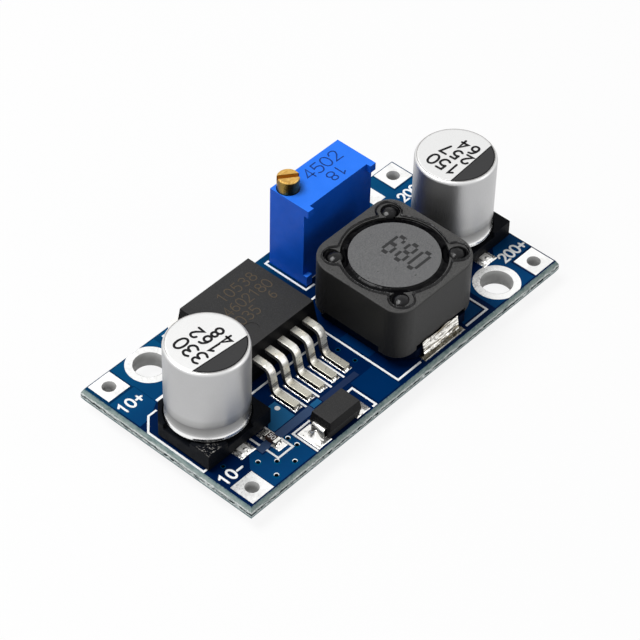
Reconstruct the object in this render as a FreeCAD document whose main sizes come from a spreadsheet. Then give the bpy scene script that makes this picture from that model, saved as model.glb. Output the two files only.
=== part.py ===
import FreeCAD, Part
import math
import os
import re

import Sketcher
from FreeCAD import Placement, Rotation, Vector

# Step-down converter module: a small circuit board with a switching regulator, a diode, a power
# inductor, two can capacitors, a multiturn trimmer and a chip resistor. All sizes in millimetres.
# The board lies in the XY plane, +Z up. X runs from the input end to the output end, and Y from the
# front edge (diode side) to the back edge (trimmer side). Z is 0 at the tips of the trimmer pins.

dimensions = {
    # Board, with V-scored edges that stand out half way down
    "board_thickness": 1.6,
    "score_depth": 0.5,
    "score_width": 0.25,
    # The row of parts from the input end to the output end
    "input_end_margin": 0.35,
    "capacitor_to_regulator": 1.35,
    "regulator_to_inductor": 0.95,
    "inductor_to_capacitor": 1.45,
    "output_end_margin": 0.5,
    # The parts from the front edge to the back edge
    "inductor_front_margin": 1.05,
    "inductor_to_trimmer": 2.05,
    "trimmer_back_margin": 1.05,
    "regulator_back_margin": 0.6,
    "capacitor_back_margin": 7.43,
    # Plated holes and bare pads
    "pad_thickness": 0.06,
    "plating": 0.05,
    "barrel_fit": 0.01,
    "mounting_hole_radius": 1.6,
    "mounting_ring_radius": 2.35,
    "mounting_hole_from_input_end": 6.25,
    "mounting_hole_beside_pad": 0.75,
    "mounting_hole_to_pad": 2.27,
    "mounting_hole_from_edge": 2.25,
    "ring_edge_margin": 0.05,
    "wire_hole_radius": 0.68,
    "wire_pad_size": 2.75,
    "wire_pad_from_input_end": 1.7,
    "wire_pad_from_output_end": 1.55,
    "wire_pad_from_edge": 1.5,
    "via_radius": 0.2,
    "pin_ring_radius": 0.85,
    "solder_gap": 0.12,
    # Switching regulator: moulded body on a metal tab, five bent leads
    "regulator_width": 10.2,
    "regulator_depth": 8.7,
    "regulator_height": 4.45,
    "regulator_side_inset": 0.5,
    "regulator_end_inset": 0.22,
    "regulator_foot_inset": 0.08,
    "ejector_radius": 0.75,
    "ejector_depth": 0.04,
    "ejector_from_side": 3.15,
    "ejector_from_front": 1.9,
    "tab_thickness": 1.3,
    "tab_overhang": 1.5,
    "tab_inner_width": 8.0,
    "tab_inner_margin": 1.7,
    "tab_corner": 0.6,
    "lead_pitch": 1.7,
    "lead_width": 0.8,
    "lead_thickness": 0.45,
    "lead_reach": 5.15,
    "lead_foot": 2.75,
    "lead_heel_run": 0.6,
    "lead_exit_height": 2.8,
    "lead_bend_radius": 0.7,
    "lead_anchor": 1.1,
    "lead_pad_width": 1.05,
    "lead_pad_toe": 0.25,
    "lead_pad_heel": 0.15,
    "tab_pad_margin": 0.15,
    # Diode: moulded block with two straps folded under it
    "diode_from_regulator": 2.3,
    "diode_front_margin": 0.1,
    "diode_length": 4.25,
    "diode_width": 2.5,
    "diode_height": 2.2,
    "diode_parting_height": 1.2,
    "diode_inset": 0.14,
    "strap_thickness": 0.22,
    "strap_width": 1.45,
    "strap_projection": 0.38,
    "strap_foot": 1.1,
    "strap_anchor": 0.5,
    "strap_bend_radius": 0.22,
    "diode_pad_length": 1.8,
    "diode_pad_width": 2.75,
    "diode_pad_offset": 0.2,
    "diode_pad_projection": 1.0,
    # Inductor: drum core with its winding, glued into a square ferrite shield on a plastic base
    "inductor_width": 12.0,
    "shield_front_corner_radius": 1.95,
    "shield_side_corner_radius": 2.9,
    "shield_height": 5.95,
    "shield_wall": 0.9,
    "shield_edge_radius": 0.15,
    "shield_foot_width": 2.5,
    "shield_notch_height": 0.6,
    "glue_well_radius": 0.95,
    "glue_well_overlap": 0.11,
    "glue_well_depth": 1.1,
    "base_height": 1.4,
    "base_clearance": 0.7,
    "base_corner": 1.8,
    "glue_gap": 0.75,
    "flange_thickness": 1.25,
    "post_radius": 2.2,
    "winding_inset": 0.25,
    "winding_gap": 0.04,
    "glue_depth": 0.9,
    "glue_sink": 0.08,
    "clip_thickness": 0.25,
    "clip_width": 5.2,
    "clip_foot": 2.8,
    "clip_height": 1.25,
    "clip_bend_radius": 0.2,
    "clip_pad_width": 5.75,
    "clip_pad_length": 3.3,
    "clip_pad_reach": 0.45,
    # Can capacitors: drawn can with a crimped groove, on a plastic base with two flat leads
    "can_radius": 3.98,
    "capacitor_height": 10.73,
    "can_edge_radius": 0.4,
    "can_bottom_radius": 3.3,
    "can_curl_height": 0.6,
    "can_bead_height": 0.9,
    "can_groove_height": 1.95,
    "can_groove_depth": 0.35,
    "can_groove_run": 0.35,
    "capacitor_base_width": 8.1,
    "base_lift": 0.25,
    "base_floor": 1.5,
    "base_post_height": 0.55,
    "base_post_width": 2.4,
    "base_post_clearance": 0.12,
    "base_chamfer": 1.75,
    "flat_lead_width": 0.9,
    "flat_lead_thickness": 0.3,
    "flat_lead_projection": 0.8,
    "flat_lead_offset": 1.6,
    "flat_lead_bend_radius": 0.35,
    "capacitor_pad_width": 1.9,
    "capacitor_pad_length": 2.8,
    "capacitor_pad_reach": 0.95,
    # Multiturn trimmer: plastic housing with a brass adjusting screw and three pins in a row
    "trimmer_length": 9.5,
    "trimmer_depth": 4.85,
    "trimmer_height": 9.65,
    "trimmer_from_inductor_end": 0.4,
    "trimmer_recess": 0.5,
    "trimmer_lug_width": 0.75,
    "trimmer_top_lug": 0.85,
    "trimmer_foot_lug": 1.2,
    "screw_radius": 1.1,
    "screw_clearance": 0.05,
    "screw_proud": 1.5,
    "screw_head_depth": 1.6,
    "screw_shank_radius": 0.7,
    "screw_shank_length": 4.0,
    "screw_inset": 1.2,
    "screw_slot_width": 0.5,
    "screw_slot_depth": 0.6,
    "screw_edge": 0.1,
    "pin_radius": 0.25,
    "pin_pitch": 2.54,
    "pin_stickout": 1.0,
    "pin_anchor": 1.2,
    "pin_hole_radius": 0.45,
    "joint_height": 0.7,
    "joint_tip_radius": 0.34,
    # Chip resistor beside the input capacitor
    "resistor_length": 1.6,
    "resistor_width": 0.85,
    "resistor_height": 0.48,
    "resistor_end": 0.32,
    "resistor_end_wall": 0.03,
    "resistor_from_base_end": 0.95,
    "resistor_from_base_front": 0.57,
    "resistor_pad_width": 1.2,
    "resistor_pad_reach": 0.65,
    "resistor_pad_inset": 0.4,
    # Bare test pad between the trimmer and the negative output
    "spare_pad_length": 1.65,
    "spare_pad_width": 2.1,
    "spare_pad_from_output_end": 4.45,
    "spare_pad_from_edge": 0.95,
}

doc = FreeCAD.newDocument("StepDownConverter")
sheet = doc.addObject("Spreadsheet::Sheet", "Dimensions")
for row, (alias, number) in enumerate(dimensions.items(), start=1):
    sheet.set(f"A{row}", alias)
    sheet.set(f"B{row}", str(number))
    sheet.setAlias(f"B{row}", alias)
doc.recompute()

# Layout, worked out from the parts in each row. The board is as large as its rows of parts need.
board_length = (
    "(input_end_margin + capacitor_base_width + capacitor_to_regulator + regulator_width"
    " + regulator_to_inductor + inductor_width + inductor_to_capacitor + capacitor_base_width"
    " + output_end_margin)"
)
board_width = (
    "max(inductor_front_margin + inductor_width + inductor_to_trimmer + trimmer_depth"
    " + trimmer_back_margin; mounting_hole_from_edge + mounting_hole_to_pad"
    " + capacitor_pad_reach + capacitor_base_width + capacitor_back_margin)"
)
board_top = "(pin_stickout + board_thickness)"
pad_top = f"({board_top} + pad_thickness)"
input_capacitor_x = "(input_end_margin + capacitor_base_width / 2)"
output_capacitor_x = f"({board_length} - output_end_margin - capacitor_base_width / 2)"
capacitor_y = f"({board_width} - capacitor_back_margin - capacitor_base_width / 2)"
regulator_x = (
    "(input_end_margin + capacitor_base_width + capacitor_to_regulator + regulator_width / 2)"
)
regulator_y = f"({board_width} - regulator_back_margin - tab_overhang - regulator_depth)"
diode_x = f"({regulator_x} - diode_from_regulator)"
diode_y = "(diode_front_margin + diode_width / 2)"
inductor_x = (
    f"({board_length} - output_end_margin - capacitor_base_width - inductor_to_capacitor"
    " - inductor_width / 2)"
)
inductor_y = "(inductor_front_margin + inductor_width / 2)"
shield_bore = "(inductor_width / 2 - shield_wall)"
glue_well_offset = f"(({shield_bore} + glue_well_radius - glue_well_overlap) / sqrt(2))"
flange_radius = f"({shield_bore} - glue_gap)"
winding_radius = f"({flange_radius} - winding_inset)"
trimmer_x = (
    f"({inductor_x} + inductor_width / 2 + trimmer_from_inductor_end - trimmer_length / 2)"
)
trimmer_y = f"({board_width} - trimmer_back_margin - trimmer_depth / 2)"
resistor_x = (
    f"({regulator_x} - regulator_width / 2 - capacitor_to_regulator - resistor_from_base_end"
    " - resistor_width / 2)"
)
resistor_y = (
    f"({capacitor_y} - capacitor_base_width / 2 - resistor_from_base_front - resistor_length / 2)"
)

# Solder fillets: how hollow, as a share of the deepest arc that stays inside the corner, where the
# hollow face is broken into flat strips, how much of the bare pad they cover, and how far they
# rise up the metal that they wet
fillet_hollow = 0.8
fillet_strips = (0.25, 0.5, 0.75)
fillet_reach = 0.9
fillet_rise = 0.7
tab_fillet_rise = 0.4

# How the screw's slot was left, in degrees about its axis
screw_turn = -37

# Lengths closer than this are the same
tiny = 1e-6

alias_word = re.compile(r"[a-z_]+")
finished = []


def cells(formula):
    """The formula with each size written as its cell in the sheet."""
    return alias_word.sub(
        lambda word: f"Dimensions.{word[0]}" if word[0] in dimensions else word[0], formula
    )


def size(alias):
    """The number in one cell of the sheet."""
    return float(sheet.get(alias))


def bind(item, **formulas):
    """Ties properties to the sheet. A double underscore stands for a dot."""
    for name, formula in formulas.items():
        item.setExpression(name.replace("__", "."), cells(formula))


def seat(item, x, y, height, turn=0):
    """Puts an object's own origin at x, y from the board's corner, at a height over the pin tips."""
    item.Placement = Placement(Vector(), Rotation(Vector(0, 0, 1), turn))
    item.setExpression("Placement.Base.x", cells(f"{x} - {board_length} / 2"))
    item.setExpression("Placement.Base.y", cells(f"{y} - {board_width} / 2"))
    item.setExpression("Placement.Base.z", cells(height))


def finish(item, label):
    """Marks an object as a finished sub-part, to be written under its label."""
    item.Label = label
    finished.append(item)
    return item


# Building blocks


def new_body(name, several=False):
    """A body, which may hold several separate solids."""
    body = doc.addObject("PartDesign::Body", name)
    body.AllowCompound = several
    return body


def new_sketch(body, role, offset="0"):
    """A sketch on one of the body's origin planes, moved along the plane's normal."""
    sketch = body.newObject("Sketcher::SketchObject", f"{body.Name}Sketch")
    plane = next(item for item in body.Origin.OriginFeatures if item.Role == role)
    sketch.AttachmentSupport = [(plane, "")]
    sketch.MapMode = "FlatFace"
    sketch.setExpression("AttachmentOffset.Base.z", cells(offset))
    return sketch


def draw_outline(sketch, points):
    """A closed outline of straight lines, with both coordinates of each corner tied to the sheet."""
    first = sketch.GeometryCount
    count = len(points)
    start = [
        Vector(math.cos(2 * math.pi * step / count), math.sin(2 * math.pi * step / count), 0)
        for step in range(count)
    ]
    for step in range(count):
        sketch.addGeometry(Part.LineSegment(start[step], start[(step + 1) % count]), False)
    for step in range(count):
        after = first + (step + 1) % count
        sketch.addConstraint(Sketcher.Constraint("Coincident", first + step, 2, after, 1))
    for step, (across, along) in enumerate(points):
        for kind, formula, value in (
            ("DistanceX", across, start[step].x),
            ("DistanceY", along, start[step].y),
        ):
            constraint = Sketcher.Constraint(kind, -1, 1, first + step, 1, value)
            index = sketch.addConstraint(constraint)
            sketch.setExpression(f"Constraints[{index}]", cells(formula))


def draw_rectangle(sketch, middle_x, middle_y, length, width):
    """A rectangle about a middle point."""
    left, right = f"{middle_x} - {length} / 2", f"{middle_x} + {length} / 2"
    front, back = f"{middle_y} - {width} / 2", f"{middle_y} + {width} / 2"
    draw_outline(sketch, [(left, front), (right, front), (right, back), (left, back)])


def draw_cross(sketch, half, reach):
    """The outline of a cross about the sketch's origin, from half its arms' width and their reach."""
    draw_outline(
        sketch,
        [
            (half, f"-{reach}"), (half, f"-{half}"), (reach, f"-{half}"), (reach, half),
            (half, half), (half, reach), (f"-{half}", reach), (f"-{half}", half),
            (f"-{reach}", half), (f"-{reach}", f"-{half}"), (f"-{half}", f"-{half}"),
            (f"-{half}", f"-{reach}"),
        ],
    )


def draw_circle(sketch, middle_x, middle_y, radius):
    """A circle with its middle and radius tied to the sheet."""
    circle = Part.Circle(Vector(1, 1, 0), Vector(0, 0, 1), 1)
    index = sketch.addGeometry(circle, False)
    for constraint, formula in (
        (Sketcher.Constraint("DistanceX", -1, 1, index, 3, 1), middle_x),
        (Sketcher.Constraint("DistanceY", -1, 1, index, 3, 1), middle_y),
        (Sketcher.Constraint("Radius", index, 1), radius),
    ):
        number = sketch.addConstraint(constraint)
        sketch.setExpression(f"Constraints[{number}]", cells(formula))


def pad(body, sketch, length, downward=False, taper="0"):
    """Thickens a sketch into the body. A negative taper narrows it on the way."""
    feature = body.newObject("PartDesign::Pad", f"{body.Name}Pad")
    feature.Profile = sketch
    feature.Reversed = downward
    bind(feature, Length=length, TaperAngle=taper)
    return feature


def pocket(body, sketch, depth=None, along_normal=False):
    """Cuts a sketch out of the body, right through where no depth is given."""
    feature = body.newObject("PartDesign::Pocket", f"{body.Name}Pocket")
    feature.Profile = sketch
    feature.Reversed = along_normal
    if depth is None:
        feature.Type = "ThroughAll"
    else:
        bind(feature, Length=depth)
    return feature


def revolve(body, sketch):
    """Turns a sketch all the way round its vertical axis."""
    feature = body.newObject("PartDesign::Revolution", f"{body.Name}Revolution")
    feature.Profile = sketch
    feature.ReferenceAxis = (sketch, ["V_Axis"])
    feature.Angle = 360
    return feature


def round_edges(body, feature, radius, wanted):
    """Rounds those edges of a feature that the test picks."""
    doc.recompute()
    names = [
        f"Edge{number}" for number, edge in enumerate(feature.Shape.Edges, 1) if wanted(edge)
    ]
    fillet = body.newObject("PartDesign::Fillet", f"{body.Name}Fillet")
    fillet.Base = (feature, names)
    bind(fillet, Radius=radius)
    return fillet


def is_upright(edge):
    """True for a straight edge along Z."""
    return edge.BoundBox.XLength + edge.BoundBox.YLength < tiny


def loft_rectangles(name, sections):
    """A body through rectangles at rising heights, each (height, middle y, length, width)."""
    body = new_body(name)
    sketches = []
    for height, middle_y, length, width in sections:
        sketch = new_sketch(body, "XY_Plane", height)
        draw_rectangle(sketch, "0", middle_y, length, width)
        sketches.append(sketch)
    loft = body.newObject("PartDesign::AdditiveLoft", f"{name}Loft")
    loft.Profile = sketches[0]
    loft.Sections = sketches[1:]
    loft.Ruled = True
    return body


def strip_side(path, bend_radius, shift):
    """Edges along one face of a bent strip: straight runs joined by arcs, beside the path."""
    normal = Vector(1, 0, 0)
    ways = [(end - start).normalize() for start, end in zip(path, path[1:])]
    edges = []
    reached = path[0] + normal.cross(ways[0]) * shift
    for corner, way_in, way_out in zip(path[1:], ways, ways[1:]):
        bend = way_in.getAngle(way_out)
        inward = (way_out - way_in).normalize()
        turns_left = normal.cross(way_in).dot(inward) > 0
        radius = bend_radius - shift if turns_left else bend_radius + shift
        middle = corner + inward * (bend_radius / math.cos(bend / 2))
        run = bend_radius * math.tan(bend / 2)
        arc_start = corner - way_in * run + normal.cross(way_in) * shift
        arc_end = corner + way_out * run + normal.cross(way_out) * shift
        edges.append(Part.LineSegment(reached, arc_start).toShape())
        edges.append(Part.Arc(arc_start, middle - inward * radius, arc_end).toShape())
        reached = arc_end
    edges.append(Part.LineSegment(reached, path[-1] + normal.cross(ways[-1]) * shift).toShape())
    return edges


def bent_strip(corners, thickness, width, bend_radius):
    """A flat strip of metal bent along a path of (y, z) corners, as wide as given along X."""
    path = [Vector(-width / 2, along, height) for along, height in corners]
    left = strip_side(path, bend_radius, thickness / 2)
    right = strip_side(path, bend_radius, -thickness / 2)
    start = Part.LineSegment(right[0].Vertexes[0].Point, left[0].Vertexes[0].Point).toShape()
    end = Part.LineSegment(left[-1].Vertexes[-1].Point, right[-1].Vertexes[-1].Point).toShape()
    outline = Part.Wire(Part.__sortEdges__([start, *left, end, *right]))
    return Part.Face(outline).extrude(Vector(width, 0, 0))


def solder_fillet(run, rise, width):
    """A hollow fillet of solder on the -Y side of an upright face at y = 0, along X."""
    side = -width / 2
    foot, top, heel = Vector(side, -run, 0), Vector(side, 0, rise), Vector(side, 0, 0)
    sharper_corner = math.atan2(min(run, rise), max(run, rise))
    sag = math.hypot(run, rise) / 2 * math.tan(sharper_corner / 2) * fillet_hollow
    inward = Vector(0, rise, -run).normalize()
    face = []
    for share in fillet_strips:
        depth = 4 * share * (1 - share) * sag
        face.append(foot + (top - foot) * share + inward * depth)
    outline = Part.makePolygon([heel, foot, *face, top, heel])
    return Part.Face(outline).extrude(Vector(width, 0, 0))


def shape_feature(name, shape):
    """A document object that holds a finished shape."""
    feature = doc.addObject("Part::Feature", name)
    feature.Shape = shape
    return feature


def cylinder(name, radius, height):
    """An upright cylinder tied to the sheet."""
    item = doc.addObject("Part::Cylinder", name)
    bind(item, Radius=radius, Height=height)
    return item


def cut(name, base, tools):
    """One solid less the shapes of its neighbours that are let into it."""
    removed = tools[0]
    if len(tools) > 1:
        removed = doc.addObject("Part::Compound", f"{name}Tools")
        removed.Links = tools
    item = doc.addObject("Part::Cut", name)
    item.Base = base
    item.Tool = removed
    return item


def group(name, members):
    """Separate solids that share one sub-part."""
    item = doc.addObject("Part::Compound", name)
    item.Links = members
    return item


# Circuit board and its plated copper

mounting_holes = [
    ("mounting_hole_from_input_end", f"({board_width} - mounting_hole_from_edge)"),
    (
        f"({output_capacitor_x} - capacitor_pad_width / 2 - mounting_hole_beside_pad)",
        "mounting_hole_from_edge",
    ),
]
wire_holes = [
    ("wire_pad_from_input_end", f"({board_width} - wire_pad_from_edge)"),
    ("wire_pad_from_input_end", "wire_pad_from_edge"),
    (f"({board_length} - wire_pad_from_output_end)", "wire_pad_from_edge"),
    (f"({board_length} - wire_pad_from_output_end)", f"({board_width} - wire_pad_from_edge)"),
]
# Each via is placed from the middle of the part beside it and from the front edge
via_places = [
    (diode_x, "-4.38", "3.17"),
    (diode_x, "-4.4", "2.04"),
    (input_capacitor_x, "-0.15", "3.16"),
    (input_capacitor_x, "+1.1", "2"),
    (input_capacitor_x, "+2.2", "0.82"),
    (input_capacitor_x, "-0.16", "0.89"),
    (input_capacitor_x, "-2.65", "5.1"),
    (inductor_x, "-7.31", "7.33"),
    (inductor_x, "-7.24", "5.26"),
]
via_holes = [(f"({part_x} {offset})", from_edge) for part_x, offset, from_edge in via_places]
pin_holes = [(f"({trimmer_x} + {step} * pin_pitch)", trimmer_y) for step in (-1, 0, 1)]


def make_board():
    """The laminate, with scored edges and its drilled holes, room left for each barrel."""
    body = new_body("Board")
    middle_x, middle_y = f"{board_length} / 2", f"{board_width} / 2"
    web_length = f"({board_length} + 2 * score_width)"
    web_width = f"({board_width} + 2 * score_width)"
    taper = "-atan(score_width / score_depth)"

    def web_sketch(height):
        sketch = new_sketch(body, "XY_Plane", height)
        draw_rectangle(sketch, middle_x, middle_y, web_length, web_width)
        return sketch

    pad(body, web_sketch("score_depth"), "board_thickness - 2 * score_depth")
    pad(body, web_sketch("board_thickness - score_depth"), "score_depth", taper=taper)
    pad(body, web_sketch("score_depth"), "score_depth", downward=True, taper=taper)
    drilled = new_sketch(body, "XY_Plane")
    for places, radius in (
        (mounting_holes, "mounting_hole_radius"),
        (wire_holes, "wire_hole_radius"),
        (via_holes, "via_radius + plating + barrel_fit"),
        (pin_holes, "pin_hole_radius + plating + barrel_fit"),
    ):
        for x, y in places:
            draw_circle(drilled, x, y, radius)
    pocket(body, drilled, along_normal=True)
    seat(body, "0", "0", "pin_stickout")
    return finish(body, "circuit_board")


def add_flanges(body, places, radius, draw_flange):
    """Flat rings around holes, on both faces of the board."""
    for height, downward in (("board_thickness", False), ("0", True)):
        flange = new_sketch(body, "XY_Plane", height)
        for x, y in places:
            draw_circle(flange, x, y, radius)
            draw_flange(flange, x, y)
        pad(body, flange, "pad_thickness", downward=downward)


def plated_barrels(name, places, radius):
    """Plated barrels, one at each place, as long as the board is thick."""
    body = new_body(name, several=True)
    barrel = new_sketch(body, "XY_Plane")
    for x, y in places:
        draw_circle(barrel, x, y, radius)
        draw_circle(barrel, x, y, f"{radius} + plating")
    pad(body, barrel, "board_thickness")
    seat(body, "0", "0", "pin_stickout")
    return body


def make_wire_pads():
    """Square pads above and below the hole of each input and output wire."""
    body = new_body("WirePads", several=True)
    add_flanges(
        body,
        wire_holes,
        "wire_hole_radius",
        lambda sketch, x, y: draw_rectangle(sketch, x, y, "wire_pad_size", "wire_pad_size"),
    )
    seat(body, "0", "0", "pin_stickout")
    finish(body, "wire_pads")


def make_mounting_rings():
    """Rings above and below the two mounting holes, clipped short of the board's edge."""
    body = new_body("MountingPlates", several=True)
    add_flanges(
        body,
        mounting_holes,
        "mounting_hole_radius",
        lambda sketch, x, y: draw_circle(sketch, x, y, "mounting_ring_radius"),
    )
    seat(body, "0", "0", "pin_stickout")
    clip = doc.addObject("Part::Box", "RingClip")
    bind(
        clip,
        Length=f"{board_length} - 2 * ring_edge_margin",
        Width=f"{board_width} - 2 * ring_edge_margin",
        Height="board_thickness + 4 * pad_thickness",
    )
    seat(clip, "ring_edge_margin", "ring_edge_margin", "pin_stickout - 2 * pad_thickness")
    clipped = doc.addObject("Part::Common", "MountingRings")
    clipped.Base = body
    clipped.Tool = clip
    finish(clipped, "mounting_rings")


def make_small_barrels():
    """Plain plated vias, and the plated holes with small rings for the trimmer pins."""
    finish(plated_barrels("Vias", via_holes, "via_radius"), "via_barrels")
    body = plated_barrels("PinBarrels", pin_holes, "pin_hole_radius")
    add_flanges(
        body,
        pin_holes,
        "pin_hole_radius",
        lambda sketch, x, y: draw_circle(sketch, x, y, "pin_ring_radius"),
    )
    finish(body, "pin_barrels")


def make_component_pads():
    """Flat copper pads under the surface-mounted parts."""
    body = new_body("ComponentPads", several=True)
    sketch = new_sketch(body, "XY_Plane", "board_thickness")
    lead_pad_length = "(lead_foot + lead_pad_toe + lead_pad_heel)"
    lead_pad_y = f"({regulator_y} - lead_reach - lead_pad_toe + {lead_pad_length} / 2)"
    for step in (-2, -1, 0, 1, 2):
        lead_x = f"({regulator_x} + {step} * lead_pitch)"
        draw_rectangle(sketch, lead_x, lead_pad_y, "lead_pad_width", lead_pad_length)
    tab_pad_length = "(regulator_depth - tab_inner_margin + tab_overhang + 2 * tab_pad_margin)"
    tab_pad_y = f"({board_width} - regulator_back_margin + tab_pad_margin - {tab_pad_length} / 2)"
    tab_pad_width = "(regulator_width + 2 * tab_pad_margin)"
    draw_rectangle(sketch, regulator_x, tab_pad_y, tab_pad_width, tab_pad_length)
    for side in ("+", "-"):
        pad_x = (
            f"({diode_x} {side} (diode_length / 2 + strap_projection + diode_pad_projection"
            " - diode_pad_length / 2))"
        )
        draw_rectangle(
            sketch, pad_x, f"{diode_y} + diode_pad_offset", "diode_pad_length", "diode_pad_width"
        )
        pad_y = (
            f"({inductor_y} {side} (inductor_width / 2 + clip_thickness + clip_pad_reach"
            " - clip_pad_length / 2))"
        )
        draw_rectangle(sketch, inductor_x, pad_y, "clip_pad_width", "clip_pad_length")
        pad_y = (
            f"({capacitor_y} {side} (capacitor_base_width / 2 + capacitor_pad_reach"
            " - capacitor_pad_length / 2))"
        )
        for capacitor_x in (input_capacitor_x, output_capacitor_x):
            draw_rectangle(
                sketch, capacitor_x, pad_y, "capacitor_pad_width", "capacitor_pad_length"
            )
        pad_length = "(resistor_pad_reach + resistor_pad_inset)"
        pad_y = f"({resistor_y} {side} (resistor_length / 2 + resistor_pad_reach"
        pad_y += f" - {pad_length} / 2))"
        draw_rectangle(sketch, resistor_x, pad_y, "resistor_pad_width", pad_length)
    spare_x = f"({board_length} - spare_pad_from_output_end - spare_pad_length / 2)"
    spare_y = f"({board_width} - spare_pad_from_edge - spare_pad_width / 2)"
    draw_rectangle(sketch, spare_x, spare_y, "spare_pad_length", "spare_pad_width")
    pad(body, sketch, "pad_thickness")
    seat(body, "0", "0", "pin_stickout")
    finish(body, "component_pads")


# Switching regulator. Its own origin is in the middle of the body's front face, on the pads.


def lead_path(inner_end):
    """The corners of one bent lead, from its toe on the board into the body."""
    foot_height = size("lead_thickness") / 2
    toe = -size("lead_reach")
    heel = toe + size("lead_foot")
    return [
        (toe, foot_height),
        (heel, foot_height),
        (heel + size("lead_heel_run"), size("lead_exit_height")),
        *inner_end,
    ]


def make_lead(inner_end):
    """One lead as a strip bent along its path."""
    return bent_strip(
        lead_path(inner_end),
        size("lead_thickness"),
        size("lead_width"),
        size("lead_bend_radius"),
    )


def make_regulator():
    """Moulded body, the metal tab with the centre lead in one piece, and four single leads."""
    tab = new_body("TabPlate")
    sketch = new_sketch(tab, "XY_Plane")
    tab_end = "(regulator_depth + tab_overhang)"
    right_side = [
        ("tab_inner_width / 2", "tab_inner_margin"),
        ("tab_inner_width / 2", "regulator_depth"),
        ("regulator_width / 2", "regulator_depth"),
        ("regulator_width / 2", f"{tab_end} - tab_corner"),
        ("regulator_width / 2 - tab_corner", tab_end),
    ]
    left_side = [(f"-({across})", along) for across, along in reversed(right_side)]
    draw_outline(sketch, right_side + left_side)
    pad(tab, sketch, "tab_thickness")
    seat(tab, regulator_x, regulator_y, pad_top)

    anchor = size("lead_anchor")
    tab_start = size("tab_inner_margin") + size("lead_thickness")
    exit_height = size("lead_exit_height")
    inside_tab = size("tab_thickness") - size("lead_thickness")
    down_to_tab = [(tab_start, exit_height), (tab_start, inside_tab)]
    centre_lead = shape_feature("CentreLead", make_lead(down_to_tab))
    seat(centre_lead, regulator_x, regulator_y, pad_top)
    tab_with_lead = doc.addObject("Part::Fuse", "TabWithLead")
    tab_with_lead.Base = tab
    tab_with_lead.Tool = centre_lead
    finish(tab_with_lead, "regulator_tab")

    leads = []
    for number, step in ((1, -2), (2, -1), (4, 1), (5, 2)):
        lead = shape_feature(f"Lead{number}", make_lead([(anchor, exit_height)]))
        seat(lead, f"{regulator_x} + {step} * lead_pitch", regulator_y, pad_top)
        leads.append(finish(lead, f"regulator_lead_{number}"))

    block = loft_rectangles(
        "RegulatorBlock",
        [
            (
                "0",
                "regulator_depth / 2",
                "(regulator_width - 2 * regulator_foot_inset)",
                "(regulator_depth - 2 * regulator_foot_inset)",
            ),
            ("tab_thickness", "regulator_depth / 2", "regulator_width", "regulator_depth"),
            (
                "regulator_height",
                "regulator_depth / 2",
                "(regulator_width - 2 * regulator_side_inset)",
                "(regulator_depth - 2 * regulator_end_inset)",
            ),
        ],
    )
    seat(block, regulator_x, regulator_y, pad_top)
    mark = cylinder("EjectorMark", "ejector_radius", "2 * ejector_depth")
    seat(
        mark,
        f"{regulator_x} - regulator_width / 2 + ejector_from_side",
        f"{regulator_y} + ejector_from_front",
        f"{pad_top} + regulator_height - ejector_depth",
    )
    finish(cut("RegulatorBody", block, [tab_with_lead, *leads, mark]), "regulator_body")

    fillets = []
    toe = solder_fillet(
        size("lead_pad_toe") * fillet_reach, size("lead_thickness") * fillet_rise, size("lead_width")
    )
    for number, step in enumerate((-2, -1, 0, 1, 2), start=1):
        fillet = shape_feature(f"LeadFillet{number}", toe)
        seat(
            fillet,
            f"{regulator_x} + {step} * lead_pitch",
            f"{regulator_y} - lead_reach",
            pad_top,
        )
        fillets.append(fillet)
    tab_edge = size("regulator_width") - 2 * size("tab_corner")
    behind_tab = solder_fillet(
        size("tab_pad_margin") * fillet_reach, size("tab_thickness") * tab_fillet_rise, tab_edge
    )
    fillet = shape_feature("TabFillet", behind_tab)
    seat(fillet, regulator_x, f"{board_width} - regulator_back_margin", pad_top, turn=180)
    fillets.append(fillet)
    finish(group("RegulatorSolder", fillets), "regulator_solder")


# Diode. Its own origin is in the middle of the body, on the pads.


def make_diode():
    """Moulded block and two straps that leave its ends half way up and fold under it."""
    thickness = size("strap_thickness")
    end = size("diode_length") / 2
    outside = end + size("strap_projection") - thickness / 2
    foot_end = outside - size("strap_foot")
    exit_height = size("diode_parting_height")
    path = [
        (end - size("strap_anchor"), exit_height),
        (outside, exit_height),
        (outside, thickness / 2),
        (foot_end, thickness / 2),
    ]
    straps = []
    fillets = []
    solder = solder_fillet(
        size("diode_pad_projection") * fillet_reach, exit_height * fillet_rise, size("strap_width")
    )
    for side, turn, sign in (("output", -90, "+"), ("input", 90, "-")):
        strap = bent_strip(path, thickness, size("strap_width"), size("strap_bend_radius"))
        item = shape_feature(f"Strap{side.title()}", strap)
        seat(item, diode_x, diode_y, pad_top, turn)
        straps.append(finish(item, f"diode_strap_{side}_side"))
        fillet = shape_feature(f"StrapFillet{side.title()}", solder)
        fillet_x = f"{diode_x} {sign} (diode_length / 2 + strap_projection)"
        seat(fillet, fillet_x, diode_y, pad_top, turn + 180)
        fillets.append(fillet)
    narrow_length = "(diode_length - 2 * diode_inset)"
    narrow_width = "(diode_width - 2 * diode_inset)"
    block = loft_rectangles(
        "DiodeBlock",
        [
            ("strap_thickness", "0", narrow_length, narrow_width),
            ("diode_parting_height", "0", "diode_length", "diode_width"),
            ("diode_height", "0", narrow_length, narrow_width),
        ],
    )
    seat(block, diode_x, diode_y, pad_top)
    finish(cut("DiodeBody", block, straps), "diode_body")
    finish(group("DiodeSolder", fillets), "diode_solder")


# Inductor. Its own origin is in the middle of the square, on the pads.


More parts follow.
